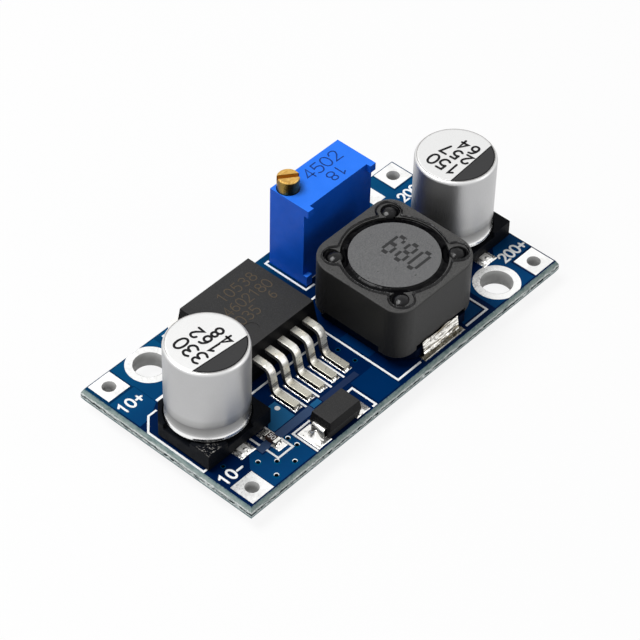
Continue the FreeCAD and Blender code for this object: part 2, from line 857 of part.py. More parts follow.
def make_shield():
    """Square ferrite shield: round bore, a glue well in each corner, a notch under each side."""
    body = new_body("Shield")
    sketch = new_sketch(body, "XY_Plane", "base_height")
    draw_rectangle(sketch, "0", "0", "inductor_width", "inductor_width")
    block = pad(body, sketch, "shield_height")

    def is_side_corner(edge):
        return is_upright(edge) and edge.Vertexes[0].X * edge.Vertexes[0].Y < 0

    def is_front_or_back_corner(edge):
        return is_upright(edge) and edge.Vertexes[0].X * edge.Vertexes[0].Y > 0

    half_round = round_edges(body, block, "shield_side_corner_radius", is_side_corner)
    rounded = round_edges(
        body, half_round, "shield_front_corner_radius", is_front_or_back_corner
    )
    top = size("base_height") + size("shield_height")
    bottom = size("base_height")

    def is_rim(edge):
        return abs(edge.BoundBox.ZMin - top) < tiny or abs(edge.BoundBox.ZMax - bottom) < tiny

    round_edges(body, rounded, "shield_edge_radius", is_rim)
    bore = new_sketch(body, "XY_Plane")
    draw_circle(bore, "0", "0", shield_bore)
    pocket(body, bore, along_normal=True)
    wells = new_sketch(body, "XY_Plane", "base_height + shield_height")
    for across in ("", "-"):
        for along in ("", "-"):
            draw_circle(
                wells, across + glue_well_offset, along + glue_well_offset, "glue_well_radius"
            )
    pocket(body, wells, "glue_well_depth")
    notches = new_sketch(body, "XY_Plane", "base_height")
    draw_cross(notches, "(inductor_width / 2 - shield_foot_width)", "inductor_width")
    pocket(body, notches, "shield_notch_height", along_normal=True)
    seat(body, inductor_x, inductor_y, pad_top)
    finish(body, "inductor_shield")


def make_drum_core():
    """Ferrite drum: two round flanges on a post."""
    body = new_body("DrumCore")
    sketch = new_sketch(body, "XZ_Plane")
    top = "(base_height + shield_height)"
    draw_outline(
        sketch,
        [
            ("0", "base_height"),
            (flange_radius, "base_height"),
            (flange_radius, "base_height + flange_thickness"),
            ("post_radius", "base_height + flange_thickness"),
            ("post_radius", f"{top} - flange_thickness"),
            (flange_radius, f"{top} - flange_thickness"),
            (flange_radius, top),
            ("0", top),
        ],
    )
    revolve(body, sketch)
    seat(body, inductor_x, inductor_y, pad_top)
    finish(body, "inductor_core")


def make_winding():
    """The copper coil between the flanges, its turns bound into one ring."""
    body = new_body("Winding")
    sketch = new_sketch(body, "XZ_Plane")
    inner = "post_radius + winding_gap"
    bottom = "base_height + flange_thickness + winding_gap"
    top = "base_height + shield_height - flange_thickness - winding_gap"
    draw_outline(
        sketch,
        [(inner, bottom), (winding_radius, bottom), (winding_radius, top), (inner, top)],
    )
    revolve(body, sketch)
    seat(body, inductor_x, inductor_y, pad_top)
    finish(body, "inductor_winding")


def make_glue():
    """The ring of glue between the drum and the shield, with a blob in each corner well."""
    body = new_body("Glue")
    top = "(base_height + shield_height - glue_sink)"
    ring = new_sketch(body, "XY_Plane", f"{top} - glue_depth")
    draw_circle(ring, "0", "0", flange_radius)
    draw_circle(ring, "0", "0", shield_bore)
    pad(body, ring, "glue_depth")
    seat(body, inductor_x, inductor_y, pad_top)
    members = [body]
    for step in range(4):
        blob = cylinder(f"GlueBlob{step}", "glue_well_radius", "glue_depth")
        across = "+" if step in (0, 3) else "-"
        along = "+" if step in (0, 1) else "-"
        seat(
            blob,
            f"{inductor_x} {across} {glue_well_offset}",
            f"{inductor_y} {along} {glue_well_offset}",
            f"{pad_top} + {top} - glue_depth",
        )
        members.append(blob)
    joined = doc.addObject("Part::MultiFuse", "GlueJoined")
    joined.Shapes = members
    drum = cylinder("GlueDrumHole", flange_radius, "base_height + shield_height")
    seat(drum, inductor_x, inductor_y, pad_top)
    finish(cut("GlueRing", joined, [drum]), "inductor_glue")


def make_inductor_base():
    """Plastic base with cut corners, and a metal clip bent up at each end of it."""
    body = new_body("InductorBase")
    sketch = new_sketch(body, "XY_Plane", "clip_thickness")
    half_length = "(inductor_width / 2)"
    half_width = "(inductor_width / 2 - base_clearance)"
    corner = "base_corner"
    draw_outline(
        sketch,
        [
            (half_width, f"-({half_length} - {corner})"),
            (half_width, f"{half_length} - {corner}"),
            (f"{half_width} - {corner}", half_length),
            (f"-({half_width} - {corner})", half_length),
            (f"-{half_width}", f"{half_length} - {corner}"),
            (f"-{half_width}", f"-({half_length} - {corner})"),
            (f"-({half_width} - {corner})", f"-{half_length}"),
            (f"{half_width} - {corner}", f"-{half_length}"),
        ],
    )
    pad(body, sketch, "base_height - clip_thickness")
    seat(body, inductor_x, inductor_y, pad_top)
    finish(body, "inductor_base")

    thickness = size("clip_thickness")
    outside = -(size("inductor_width") / 2 + thickness / 2)
    path = [
        (outside, size("clip_height")),
        (outside, thickness / 2),
        (outside + size("clip_foot"), thickness / 2),
    ]
    fillets = []
    clip = bent_strip(path, thickness, size("clip_width"), size("clip_bend_radius"))
    solder = solder_fillet(
        size("clip_pad_reach") * fillet_reach, size("clip_height") * fillet_rise, size("clip_width")
    )
    for side, turn, sign in (("front", 0, "-"), ("back", 180, "+")):
        item = shape_feature(f"Clip{side.title()}", clip)
        seat(item, inductor_x, inductor_y, pad_top, turn)
        finish(item, f"inductor_clip_{side}")
        fillet = shape_feature(f"ClipFillet{side.title()}", solder)
        fillet_y = f"{inductor_y} {sign} (inductor_width / 2 + clip_thickness)"
        seat(fillet, inductor_x, fillet_y, pad_top, turn)
        fillets.append(fillet)
    finish(group("InductorSolder", fillets), "inductor_solder")


# Can capacitors. The origin of each is on its axis, on the pads.


def make_can(name, label, x):
    """A sealed aluminium can, with a groove crimped in above its base and a curled-in bottom."""
    body = new_body(name)
    sketch = new_sketch(body, "XZ_Plane")
    floor = "base_floor"
    groove = f"({floor} + can_groove_height)"
    draw_outline(
        sketch,
        [
            ("0", floor),
            ("can_bottom_radius", floor),
            ("can_radius", f"{floor} + can_curl_height"),
            ("can_radius", f"{floor} + can_bead_height"),
            ("can_radius - can_groove_depth", groove),
            ("can_radius", f"{groove} + can_groove_run"),
            ("can_radius", "capacitor_height"),
            ("0", "capacitor_height"),
        ],
    )
    turned = revolve(body, sketch)
    top = size("capacitor_height")
    bead = size("base_floor") + size("can_curl_height")
    bead_top = size("base_floor") + size("can_bead_height")

    def is_top(edge):
        return edge.BoundBox.ZMin > top - tiny and edge.BoundBox.XLength > size("can_radius")

    def is_bead(edge):
        flat = edge.BoundBox.ZLength < tiny
        return flat and min(abs(edge.BoundBox.ZMin - at) for at in (bead, bead_top)) < tiny

    rounded = round_edges(body, turned, "can_edge_radius", is_top)
    round_edges(body, rounded, "can_edge_radius / 2", is_bead)
    seat(body, x, capacitor_y, pad_top)
    finish(body, label)


def make_capacitor(side, x):
    """A can on a plastic base with two chamfered corners, and two flat leads let into the base."""
    make_can(f"Can{side.title()}", f"{side}_capacitor_can", x)
    thickness = size("flat_lead_thickness")
    tip = -(size("capacitor_base_width") / 2 + size("flat_lead_projection"))
    inner = -size("flat_lead_offset")
    path = [(tip, thickness / 2), (inner, thickness / 2), (inner, size("base_floor"))]
    strip = bent_strip(path, thickness, size("flat_lead_width"), size("flat_lead_bend_radius"))
    solder_run = size("capacitor_pad_reach") - size("flat_lead_projection")
    solder = solder_fillet(
        solder_run * fillet_reach, thickness * fillet_rise, size("flat_lead_width")
    )
    leads = []
    fillets = []
    for place, turn, sign in (("front", 0, "-"), ("back", 180, "+")):
        lead = shape_feature(f"{side.title()}Lead{place.title()}", strip)
        seat(lead, x, capacitor_y, pad_top, turn)
        leads.append(finish(lead, f"{side}_capacitor_lead_{place}"))
        fillet = shape_feature(f"{side.title()}Fillet{place.title()}", solder)
        fillet_y = f"{capacitor_y} {sign} (capacitor_base_width / 2 + flat_lead_projection)"
        seat(fillet, x, fillet_y, pad_top, turn)
        fillets.append(fillet)

    body = new_body(f"{side.title()}CapacitorBase")
    outline = new_sketch(body, "XY_Plane", "base_lift")
    half = "(capacitor_base_width / 2)"
    draw_outline(
        outline,
        [
            (f"-{half}", f"-{half}"),
            (half, f"-{half}"),
            (half, f"{half} - base_chamfer"),
            (f"{half} - base_chamfer", half),
            (f"base_chamfer - {half}", half),
            (f"-{half}", f"{half} - base_chamfer"),
        ],
    )
    pad(body, outline, "base_floor + base_post_height - base_lift")
    cup = new_sketch(body, "XY_Plane", "base_floor + base_post_height")
    draw_circle(cup, "0", "0", "can_radius + base_post_clearance")
    pocket(body, cup, "base_post_height")
    openings = new_sketch(body, "XY_Plane", "base_floor + base_post_height")
    draw_cross(openings, f"({half} - base_post_width)", "capacitor_base_width")
    pocket(body, openings, "base_post_height")
    seat(body, x, capacitor_y, pad_top)
    finish(cut(f"{side.title()}Base", body, leads), f"{side}_capacitor_base")
    finish(group(f"{side.title()}CapacitorSolder", fillets), f"{side}_capacitor_solder")


# Multiturn trimmer. Its own origin is in the middle of its footprint, on the pin rings.

screw_x = f"({trimmer_x} - trimmer_length / 2 + screw_inset)"
screw_y = f"({trimmer_y} + trimmer_depth / 2 - screw_inset)"


def make_trimmer_housing(pins):
    """Sealed housing: front face set back between four corner lugs, bored for the screw."""
    body = new_body("Housing")
    half = "(trimmer_length / 2)"
    front = "-(trimmer_depth / 2)"
    sketch = new_sketch(body, "XY_Plane")
    draw_outline(
        sketch,
        [
            (f"-{half}", front), (half, front),
            (half, "trimmer_depth / 2"), (f"-{half}", "trimmer_depth / 2"),
        ],
    )
    pad(body, sketch, "trimmer_height")
    face = new_sketch(body, "XZ_Plane", "trimmer_depth / 2")
    lug = f"({half} - trimmer_lug_width)"
    shoulder = "(trimmer_height - trimmer_top_lug)"
    draw_outline(
        face,
        [
            (f"-{lug}", "0"), (lug, "0"), (lug, "trimmer_foot_lug"), (half, "trimmer_foot_lug"),
            (half, shoulder), (lug, shoulder), (lug, "trimmer_height"),
            (f"-{lug}", "trimmer_height"), (f"-{lug}", shoulder), (f"-{half}", shoulder),
            (f"-{half}", "trimmer_foot_lug"), (f"-{lug}", "trimmer_foot_lug"),
        ],
    )
    pocket(body, face, "trimmer_recess")
    for radius, depth in (
        ("screw_radius", "screw_head_depth"),
        ("screw_shank_radius", "screw_head_depth + screw_shank_length + screw_clearance"),
    ):
        bore = new_sketch(body, "XY_Plane", "trimmer_height")
        draw_circle(
            bore,
            f"screw_inset - {half}",
            "trimmer_depth / 2 - screw_inset",
            f"{radius} + screw_clearance",
        )
        pocket(body, bore, depth)
    seat(body, trimmer_x, trimmer_y, pad_top)
    finish(cut("TrimmerHousing", body, pins), "trimmer_housing")


def make_trimmer_screw():
    """Brass adjusting screw: slotted head that stands proud, and a thinner shank below it."""
    body = new_body("Screw")
    sketch = new_sketch(body, "XZ_Plane")
    top = "(trimmer_height + screw_proud)"
    seat_height = "(trimmer_height - screw_head_depth + screw_clearance)"
    draw_outline(
        sketch,
        [
            ("0", "trimmer_height - screw_head_depth - screw_shank_length"),
            ("screw_shank_radius", "trimmer_height - screw_head_depth - screw_shank_length"),
            ("screw_shank_radius", seat_height),
            ("screw_radius", seat_height),
            ("screw_radius", f"{top} - screw_edge"),
            ("screw_radius - screw_edge", top),
            ("0", top),
        ],
    )
    revolve(body, sketch)
    slot = new_sketch(body, "XY_Plane", top)
    draw_rectangle(slot, "0", "0", "4 * screw_radius", "screw_slot_width")
    pocket(body, slot, "screw_slot_depth")
    seat(body, screw_x, screw_y, pad_top, turn=screw_turn)
    finish(body, "trimmer_screw")


def make_trimmer():
    """Three pins through the board with a cone of solder each, the housing and the screw."""
    pins = []
    joints = []
    length = "pin_anchor + pad_thickness + board_thickness + pin_stickout"
    for number, (x, y) in enumerate(pin_holes, start=1):
        pin = cylinder(f"Pin{number}", "pin_radius", length)
        seat(pin, x, y, "0")
        pins.append(finish(pin, f"trimmer_pin_{number}"))
        cone = doc.addObject("Part::Cone", f"JointCone{number}")
        bind(
            cone,
            Radius1="joint_tip_radius",
            Radius2="pin_ring_radius - solder_gap",
            Height="joint_height - pad_thickness",
        )
        seat(cone, x, y, "pin_stickout - joint_height")
        joints.append(cut(f"Joint{number}", cone, [pin]))
    finish(group("TrimmerSolder", joints), "trimmer_solder")
    make_trimmer_housing(pins)
    make_trimmer_screw()


# Chip resistor. Its own origin is in its middle, on the pads, and it lies along Y.


def make_resistor():
    """A ceramic bar, and a metal cap on each end of it."""
    bar = doc.addObject("Part::Box", "ResistorBar")
    bind(
        bar,
        Length="resistor_width - 2 * resistor_end_wall",
        Width="resistor_length - 2 * resistor_end_wall",
        Height="resistor_height - 2 * resistor_end_wall",
    )
    seat(
        bar,
        f"{resistor_x} - resistor_width / 2 + resistor_end_wall",
        f"{resistor_y} - resistor_length / 2 + resistor_end_wall",
        f"{pad_top} + resistor_end_wall",
    )
    finish(bar, "resistor_body")
    caps = []
    fillets = []
    solder = solder_fillet(
        size("resistor_pad_reach") * fillet_reach,
        size("resistor_height") * fillet_rise,
        size("resistor_width"),
    )
    for place, turn, sign in (("front", 0, "-"), ("back", 180, "+")):
        end = doc.addObject("Part::Box", f"ResistorEnd{place.title()}")
        bind(end, Length="resistor_width", Width="resistor_end", Height="resistor_height")
        end_y = f"{resistor_y} {sign} resistor_length / 2"
        if sign == "+":
            end_y += " - resistor_end"
        seat(end, f"{resistor_x} - resistor_width / 2", end_y, pad_top)
        caps.append(cut(f"ResistorCap{place.title()}", end, [bar]))
        fillet = shape_feature(f"ResistorFillet{place.title()}", solder)
        seat(fillet, resistor_x, f"{resistor_y} {sign} resistor_length / 2", pad_top, turn)
        fillets.append(fillet)
    finish(group("ResistorEnds", caps), "resistor_ends")
    finish(group("ResistorSolder", fillets), "resistor_solder")


make_board()
make_wire_pads()
make_mounting_rings()
make_small_barrels()
make_component_pads()
make_regulator()
make_diode()
make_shield()
make_drum_core()
make_winding()
make_glue()
make_inductor_base()
make_capacitor("input", input_capacitor_x)
make_capacitor("output", output_capacitor_x)
make_trimmer()
make_resistor()
doc.recompute()

# Every object is checked before any file is written
for item in doc.Objects:
    if "Invalid" in item.State or "Error" in item.State:
        raise RuntimeError(f"{item.Label} failed: {item.State}")
for item in finished:
    if item.Shape.isNull() or not item.Shape.isValid() or not item.Shape.Solids:
        raise RuntimeError(f"{item.Label} has no valid solid")

os.makedirs("parts", exist_ok=True)
for item in finished:
    item.Shape.exportStep(f"parts/{item.Label}.step")
print(f"{len(finished)} sub-parts written")
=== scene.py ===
import math

import bmesh
import bpy
from mathutils import Matrix, Vector, noise


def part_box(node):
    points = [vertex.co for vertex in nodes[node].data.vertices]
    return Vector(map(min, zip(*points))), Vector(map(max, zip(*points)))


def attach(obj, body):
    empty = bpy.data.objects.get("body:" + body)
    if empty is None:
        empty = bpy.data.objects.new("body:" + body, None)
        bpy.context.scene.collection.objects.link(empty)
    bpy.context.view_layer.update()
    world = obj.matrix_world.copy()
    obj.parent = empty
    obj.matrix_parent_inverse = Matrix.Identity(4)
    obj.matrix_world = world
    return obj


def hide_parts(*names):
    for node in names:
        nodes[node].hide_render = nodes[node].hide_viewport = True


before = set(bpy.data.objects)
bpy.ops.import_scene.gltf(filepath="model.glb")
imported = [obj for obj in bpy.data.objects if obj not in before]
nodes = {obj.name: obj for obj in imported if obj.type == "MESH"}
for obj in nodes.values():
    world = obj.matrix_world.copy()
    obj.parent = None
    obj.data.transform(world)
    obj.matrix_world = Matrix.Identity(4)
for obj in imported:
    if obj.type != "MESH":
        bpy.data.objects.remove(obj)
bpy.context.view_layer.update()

mm = 0.001
scene = bpy.context.scene
scene.view_settings.view_transform = "Standard"
print("frame loaded:", len(nodes), "nodes")


# places on the board
board = {
    "edge": 0.25,  # how far the scored edge stands out past the printed face
    "thickness": 1.6,
    "inkThickness": 0.044,
    "copperThickness": 0.025,
}


def boxOf(node):
    low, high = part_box(node)
    return Vector(low), Vector(high)


def middle(node):
    low, high = boxOf(node)
    return (low + high) / 2


def lowOf(node):
    return boxOf(node)[0]


def highOf(node):
    return boxOf(node)[1]


def upBy(height):
    return Vector((0, 0, height * mm))


faceCorner = lowOf("circuit_board") + Vector((board["edge"], board["edge"], 0)) * mm
boardTop = highOf("circuit_board").z
padTop = highOf("component_pads").z


def at(x, y, z=0.0):
    # Metres, from mm off the printed face's input-end front corner and above its top.
    return Vector((faceCorner.x + x * mm, faceCorner.y + y * mm, boardTop + z * mm))


# camera and light
camera = {
    "azimuth": -48.95, "elevation": 45.03, "roll": 1.51,  # degrees
    "aim": (-2.334, -1.265, 5.6),  # mm
    "distance": 253.03,
    "lens": 153.52,
}


def placeCamera():
    azimuth, elevation, roll = (
        math.radians(camera[key]) for key in ("azimuth", "elevation", "roll")
    )
    back = Vector((
        math.sin(azimuth) * math.cos(elevation),
        -math.cos(azimuth) * math.cos(elevation),
        math.sin(elevation),
    ))
    right = Vector((math.cos(azimuth), math.sin(azimuth), 0))
    up = back.cross(right)
    tiltedRight = right * math.cos(roll) + up * math.sin(roll)
    tiltedUp = up * math.cos(roll) - right * math.sin(roll)
    data = bpy.data.cameras.new("camera")
    data.lens = camera["lens"]
    data.sensor_width = 36
    data.clip_start = 0.01
    data.clip_end = 20
    item = bpy.data.objects.new("camera", data)
    turn = Matrix((tiltedRight, tiltedUp, back)).transposed().to_4x4()
    turn.translation = (Vector(camera["aim"]) + back * camera["distance"]) * mm
    item.matrix_world = turn
    scene.collection.objects.link(item)
    scene.camera = item


lamps = {
    "top": {"place": (-0.13, 0.13, 0.41), "size": 0.26, "watts": 1.60},
    "left": {"place": (-0.36, -0.04, 0.18), "size": 0.20, "watts": 0.05},
    "front": {"place": (0.20, -0.36, 0.18), "size": 0.20, "watts": 0.20},
}
skyFill = 0.32  # how strongly the white surroundings light the module
floorGlow = 0.88  # how much of the floor's own white is seen


def addLamps():
    for name, lamp in lamps.items():
        data = bpy.data.lights.new(name + "Lamp", "AREA")
        data.shape = "DISK"
        data.size = lamp["size"]
        data.energy = lamp["watts"]
        item = bpy.data.objects.new(name + "Lamp", data)
        place = Vector(lamp["place"])
        item.location = place
        item.rotation_euler = place.to_track_quat("Z", "Y").to_euler()
        scene.collection.objects.link(item)


# node helpers
def addNode(tree, kind, inputs=None, **settings):
    made = tree.nodes.new(kind)
    for key, value in settings.items():
        setattr(made, key, value)
    for key, value in (inputs or {}).items():
        if isinstance(value, bpy.types.NodeSocket):
            tree.links.new(value, made.inputs[key])
        else:
            made.inputs[key].default_value = value
    return made


def maths(tree, operation, *values):
    return addNode(tree, "ShaderNodeMath", dict(enumerate(values)), operation=operation).outputs[0]


def times(tree, first, second):
    return maths(tree, "MULTIPLY", first, second)


def seenStraight(tree):
    # 1 for rays from the camera, off gloss or through glass, 0 for the light that falls on things
    path = addNode(tree, "ShaderNodeLightPath")
    both = maths(tree, "MAXIMUM", path.outputs["Is Camera Ray"], path.outputs["Is Glossy Ray"])
    return maths(tree, "MAXIMUM", both, path.outputs["Is Transmission Ray"])


def buildWorld():
    world = bpy.data.worlds.new("studio")
    world.use_nodes = True
    scene.world = world
    tree = world.node_tree
    background = tree.nodes["Background"]
    background.inputs["Color"].default_value = (1, 1, 1, 1)
    strength = maths(tree, "MULTIPLY_ADD", seenStraight(tree), 1 - skyFill, skyFill)
    tree.links.new(strength, background.inputs["Strength"])


def buildFloor():
    bm = bmesh.new()
    bmesh.ops.create_circle(bm, cap_ends=True, segments=96, radius=3.0)
    mesh = bpy.data.meshes.new("floor")
    bm.to_mesh(mesh)
    bm.free()
    item = bpy.data.objects.new("floor", mesh)
    scene.collection.objects.link(item)
    material = bpy.data.materials.new("paleFloor")
    material.use_nodes = True
    tree = material.node_tree
    tree.nodes.remove(tree.nodes["Principled BSDF"])
    matt = addNode(tree, "ShaderNodeBsdfDiffuse", {"Color": (0.86, 0.86, 0.86, 1)})
    glow = addNode(tree, "ShaderNodeEmission", {"Color": (1, 1, 1, 1), "Strength": 1.0})
    share = times(tree, seenStraight(tree), floorGlow)
    mix = addNode(tree, "ShaderNodeMixShader", {0: share, 1: matt.outputs[0], 2: glow.outputs[0]})
    tree.links.new(mix.outputs[0], tree.nodes["Material Output"].inputs["Surface"])
    mesh.materials.append(material)


placeCamera()
addLamps()
buildWorld()
buildFloor()
print("camera, lamps and floor placed")


# material helpers
def startMaterial(name, colour, roughness, metallic=0.0, specular=0.5):
    material = bpy.data.materials.new(name)
    material.use_nodes = True
    plugs = shaderOf(material).inputs
    plugs["Base Color"].default_value = (*colour, 1)
    plugs["Roughness"].default_value = roughness
    plugs["Metallic"].default_value = metallic
    plugs["Specular IOR Level"].default_value = specular
    return material, material.node_tree


def shaderOf(material):
    return material.node_tree.nodes["Principled BSDF"]


def feed(material, plug, value):
    material.node_tree.links.new(value, shaderOf(material).inputs[plug])


def toneOf(material):
    return shaderOf(material).inputs["Base Color"].links[0].from_socket


def inMillimetres(tree, stretch=(1, 1, 1)):
    place = addNode(tree, "ShaderNodeTexCoord").outputs["Object"]
    scale = [1000 * share for share in stretch]
    return addNode(tree, "ShaderNodeMapping", {"Vector": place, "Scale": scale}).outputs["Vector"]


def grain(tree, size, low=0.4, high=0.6, detail=3.0, stretch=(1, 1, 1)):
    # A noise pattern of grains about size mm across, spread over 0 to 1 between low and high.
    pattern = addNode(
        tree, "ShaderNodeTexNoise",
        {"Vector": inMillimetres(tree, stretch), "Scale": 1 / size, "Detail": detail},
    )
    return rescale(tree, pattern.outputs["Fac"], low, high)


def rescale(tree, value, low, high, toLow=0.0, toHigh=1.0):
    return addNode(
        tree, "ShaderNodeMapRange",
        {"Value": value, "From Min": low, "From Max": high, "To Min": toLow, "To Max": toHigh},
    ).outputs["Result"]


def blend(tree, share, first, second, amount=1.0):
    # From the first colour to the second; where share is 1, it has gone the given amount.
    if amount < 1:
        share = times(tree, share, amount)
    mix = addNode(tree, "ShaderNodeMix", {0: share}, data_type="RGBA")
    for plug, value in ((mix.inputs[6], first), (mix.inputs[7], second)):
        if isinstance(value, bpy.types.NodeSocket):
            tree.links.new(value, plug)
        else:
            plug.default_value = (*value, 1)
    return mix.outputs[2]


def setColour(material, colour):
    feed(material, "Base Color", colour)


def setRoughness(material, share, low, high):
    feed(material, "Roughness", rescale(material.node_tree, share, 0, 1, low, high))


def addBump(material, height, depth):
    # Raises the surface by height times depth, in mm, on top of any bump it has.
    tree = material.node_tree
    bump = addNode(tree, "ShaderNodeBump", {"Height": height, "Distance": depth * mm})
    normal = shaderOf(material).inputs["Normal"]
    if normal.is_linked:
        tree.links.new(normal.links[0].from_socket, bump.inputs["Normal"])
    tree.links.new(bump.outputs["Normal"], normal)


def coordinate(tree, axis):
    # where a point of the surface lies along an axis, in mm
    return addNode(tree, "ShaderNodeSeparateXYZ", {0: inMillimetres(tree)}).outputs[axis]


def facing(tree, axis):
    # how far the surface faces along an axis, from -1 to 1
    normal = addNode(tree, "ShaderNodeNewGeometry").outputs["Normal"]
    return addNode(tree, "ShaderNodeSeparateXYZ", {0: normal}).outputs[axis]


def eitherWay(tree, axis):
    return maths(tree, "ABSOLUTE", facing(tree, axis))


def facingUp(tree, low, high):
    # 0 on the sides and 1 on the top, changing between two shares of upward
    return rescale(tree, facing(tree, "Z"), low, high)


def ramp(tree, value, stops, reach=1.0):
    # A colour ramp from 0 to reach; stops are (place, colour), straight between them.
    made = addNode(tree, "ShaderNodeValToRGB", {"Fac": maths(tree, "DIVIDE", value, reach)})
    band = made.color_ramp
    while len(band.elements) < len(stops):
        band.elements.new(0.5)
    for element, (place, colour) in zip(band.elements, stops):
        element.position = place / reach
        element.color = (*colour, 1)
    return made.outputs["Color"]


# materials
def makeMask(name, colour, far=None):
    # Solder mask, with a slow change of tone from the front of the board to the back.
    material, tree = startMaterial(name, colour, 0.28, specular=0.02)
    toBack = rescale(tree, coordinate(tree, "Y"), 4.0, 9.5)
    tone = blend(tree, toBack, colour, far or colour)
    cloud = grain(tree, 5.0, 0.35, 0.65)
    setColour(material, blend(tree, cloud, tone, [0.70 * part for part in colour], 0.45))
    addBump(material, grain(tree, 0.25, 0.3, 0.7, detail=2.0), 0.004)
    return material


edgeBands = [  # down the edge of the board, in mm below its top
    (0.00, (0.000, 0.040, 0.090)), (0.06, (0.110, 0.200, 0.210)), (0.20, (0.230, 0.300, 0.285)),
    (0.42, (0.300, 0.360, 0.340)), (0.50, (0.900, 0.930, 0.920)), (0.60, (0.620, 0.660, 0.650)),
    (0.90, (0.780, 0.820, 0.810)), (1.02, (0.450, 0.520, 0.520)), (1.10, (0.030, 0.110, 0.140)),
    (1.60, (0.250, 0.300, 0.300)),
]


def addLaminate(material):
    # Bare glass laminate on the scored and broken edges, with the mask left on the flat faces.
    tree = material.node_tree
    isEdge = maths(tree, "LESS_THAN", eitherWay(tree, "Z"), 0.95)
    below = maths(tree, "SUBTRACT", boardTop / mm, coordinate(tree, "Z"))
    waver = times(tree, grain(tree, 0.35, 0.3, 0.7, detail=4.0), 0.10)
    bent = maths(tree, "SUBTRACT", maths(tree, "ADD", below, waver), 0.05)
    laminate = ramp(tree, bent, edgeBands, board["thickness"])
    fibres = grain(tree, 0.10, 0.35, 0.65, detail=4.0, stretch=(0.8, 0.8, 0.25))
    laminate = blend(tree, fibres, laminate, (0.34, 0.39, 0.38), 0.55)
    stains = grain(tree, 0.40, 0.50, 0.66, detail=4.0, stretch=(0.6, 0.6, 2.0))
    laminate = blend(tree, stains, laminate, (0.075, 0.135, 0.145), 0.60)
    # short dark dashes of torn glass along the broken middle
    fromMiddle = maths(tree, "ABSOLUTE", maths(tree, "SUBTRACT", bent, 0.76))
    dashes = grain(tree, 0.50, 0.47, 0.51, stretch=(0.8, 0.8, 4.0))
    torn = times(tree, maths(tree, "LESS_THAN", fromMiddle, 0.13), dashes)
    laminate = blend(tree, torn, laminate, (0.016, 0.030, 0.034))
    setColour(material, blend(tree, isEdge, toneOf(material), laminate))
    setRoughness(material, isEdge, 0.30, 0.75)
    addBump(material, times(tree, isEdge, torn), 0.06)


maskTones = {  # material, its tone at the front of the board, and at the back if it differs
    "board": ("solderMask", (0.000, 0.012, 0.064), (0.001, 0.052, 0.135)),
    "copper": ("maskOverCopper", (0.002, 0.052, 0.168), (0.002, 0.080, 0.200)),
    # painted light: a lighter copy of the mask over the patches; the first patch's diagonal edge
    # is where the input capacitor base's shadow ends
    "light": ("maskPaintedLitPatch", (0.017, 0.125, 0.290)),
    "deep": ("maskOverPlane", (0.000, 0.024, 0.104)),
    "slate": ("maskOverTrace", (0.052, 0.092, 0.190)),
    "dimSlate": ("maskOverFarTrace", (0.018, 0.034, 0.092)),
    "halo": ("maskRoundVias", (0.000, 0.070, 0.180)),
}


def makeTin(name, colour, roughness, dull=(0.66, 0.66, 0.65), metallic=1.0):
    # Tinned metal: a few broad duller patches and a fine grain.
    material, tree = startMaterial(name, colour, roughness, metallic, 0.3)
    patches = grain(tree, 2.2, 0.54, 0.58, detail=2.0)
    setColour(material, blend(tree, patches, colour, dull, 0.3))
    setRoughness(material, grain(tree, 0.3), roughness * 0.8, roughness * 1.2)
    addBump(material, grain(tree, 0.14, 0.3, 0.7), 0.002)
    return material


def makeSolder(name, colour, patchTone, share):
    # Reflowed solder, with random patches of a second tone and a few golden flux spots.
    material, tree = startMaterial(name, colour, 0.2, 0.85)
    tonePatches = grain(tree, 0.30, share, share + 0.05, detail=2.0)
    flux = grain(tree, 0.55, 0.70, 0.74)
    tone = blend(tree, tonePatches, colour, patchTone)
    setColour(material, blend(tree, flux, tone, (0.62, 0.36, 0.06)))
    setRoughness(material, grain(tree, 0.3), 0.16, 0.30)
    addBump(material, grain(tree, 0.35, 0.3, 0.7, detail=1.0), 0.012)
    return material


def makeCrumple():
    # Tinned strip that was squeezed and soldered: bright ridges, with painted brown-grey shade in
    # the hollows of the same folds that make the bumps.
    material, tree = startMaterial("crumpledTin", (0.9, 0.88, 0.82), 0.18, 1.0)
    folds = grain(tree, 0.45, 0.44, 0.60, stretch=(0.22, 1.6, 1.6))
    spots = grain(tree, 0.5, 0.58, 0.70)
    # painted shade: the hollows of the folds take a dark brown-grey
    tone = blend(tree, folds, (0.95, 0.93, 0.88), (0.20, 0.17, 0.12))
    setColour(material, blend(tree, spots, tone, (0.09, 0.08, 0.06)))
    addBump(material, folds, 0.05)
    return material


leadLightBands = [  # painted highlights on the bends and painted shade between them, up the bent leads, in mm above their pads
    (0.00, (0.57, 0.55, 0.47)), (0.46, (0.57, 0.55, 0.47)), (0.50, (0.97, 0.94, 0.84)),
    (0.90, (0.99, 0.97, 0.92)), (1.02, (0.60, 0.59, 0.54)), (1.08, (0.12, 0.115, 0.10)),
    (1.20, (0.48, 0.475, 0.45)), (1.30, (0.13, 0.125, 0.11)), (1.40, (0.76, 0.75, 0.68)),
    (2.20, (0.86, 0.84, 0.76)), (2.70, (0.99, 0.98, 0.94)), (2.97, (0.98, 0.97, 0.92)),
    (3.03, (0.70, 0.69, 0.62)),
]


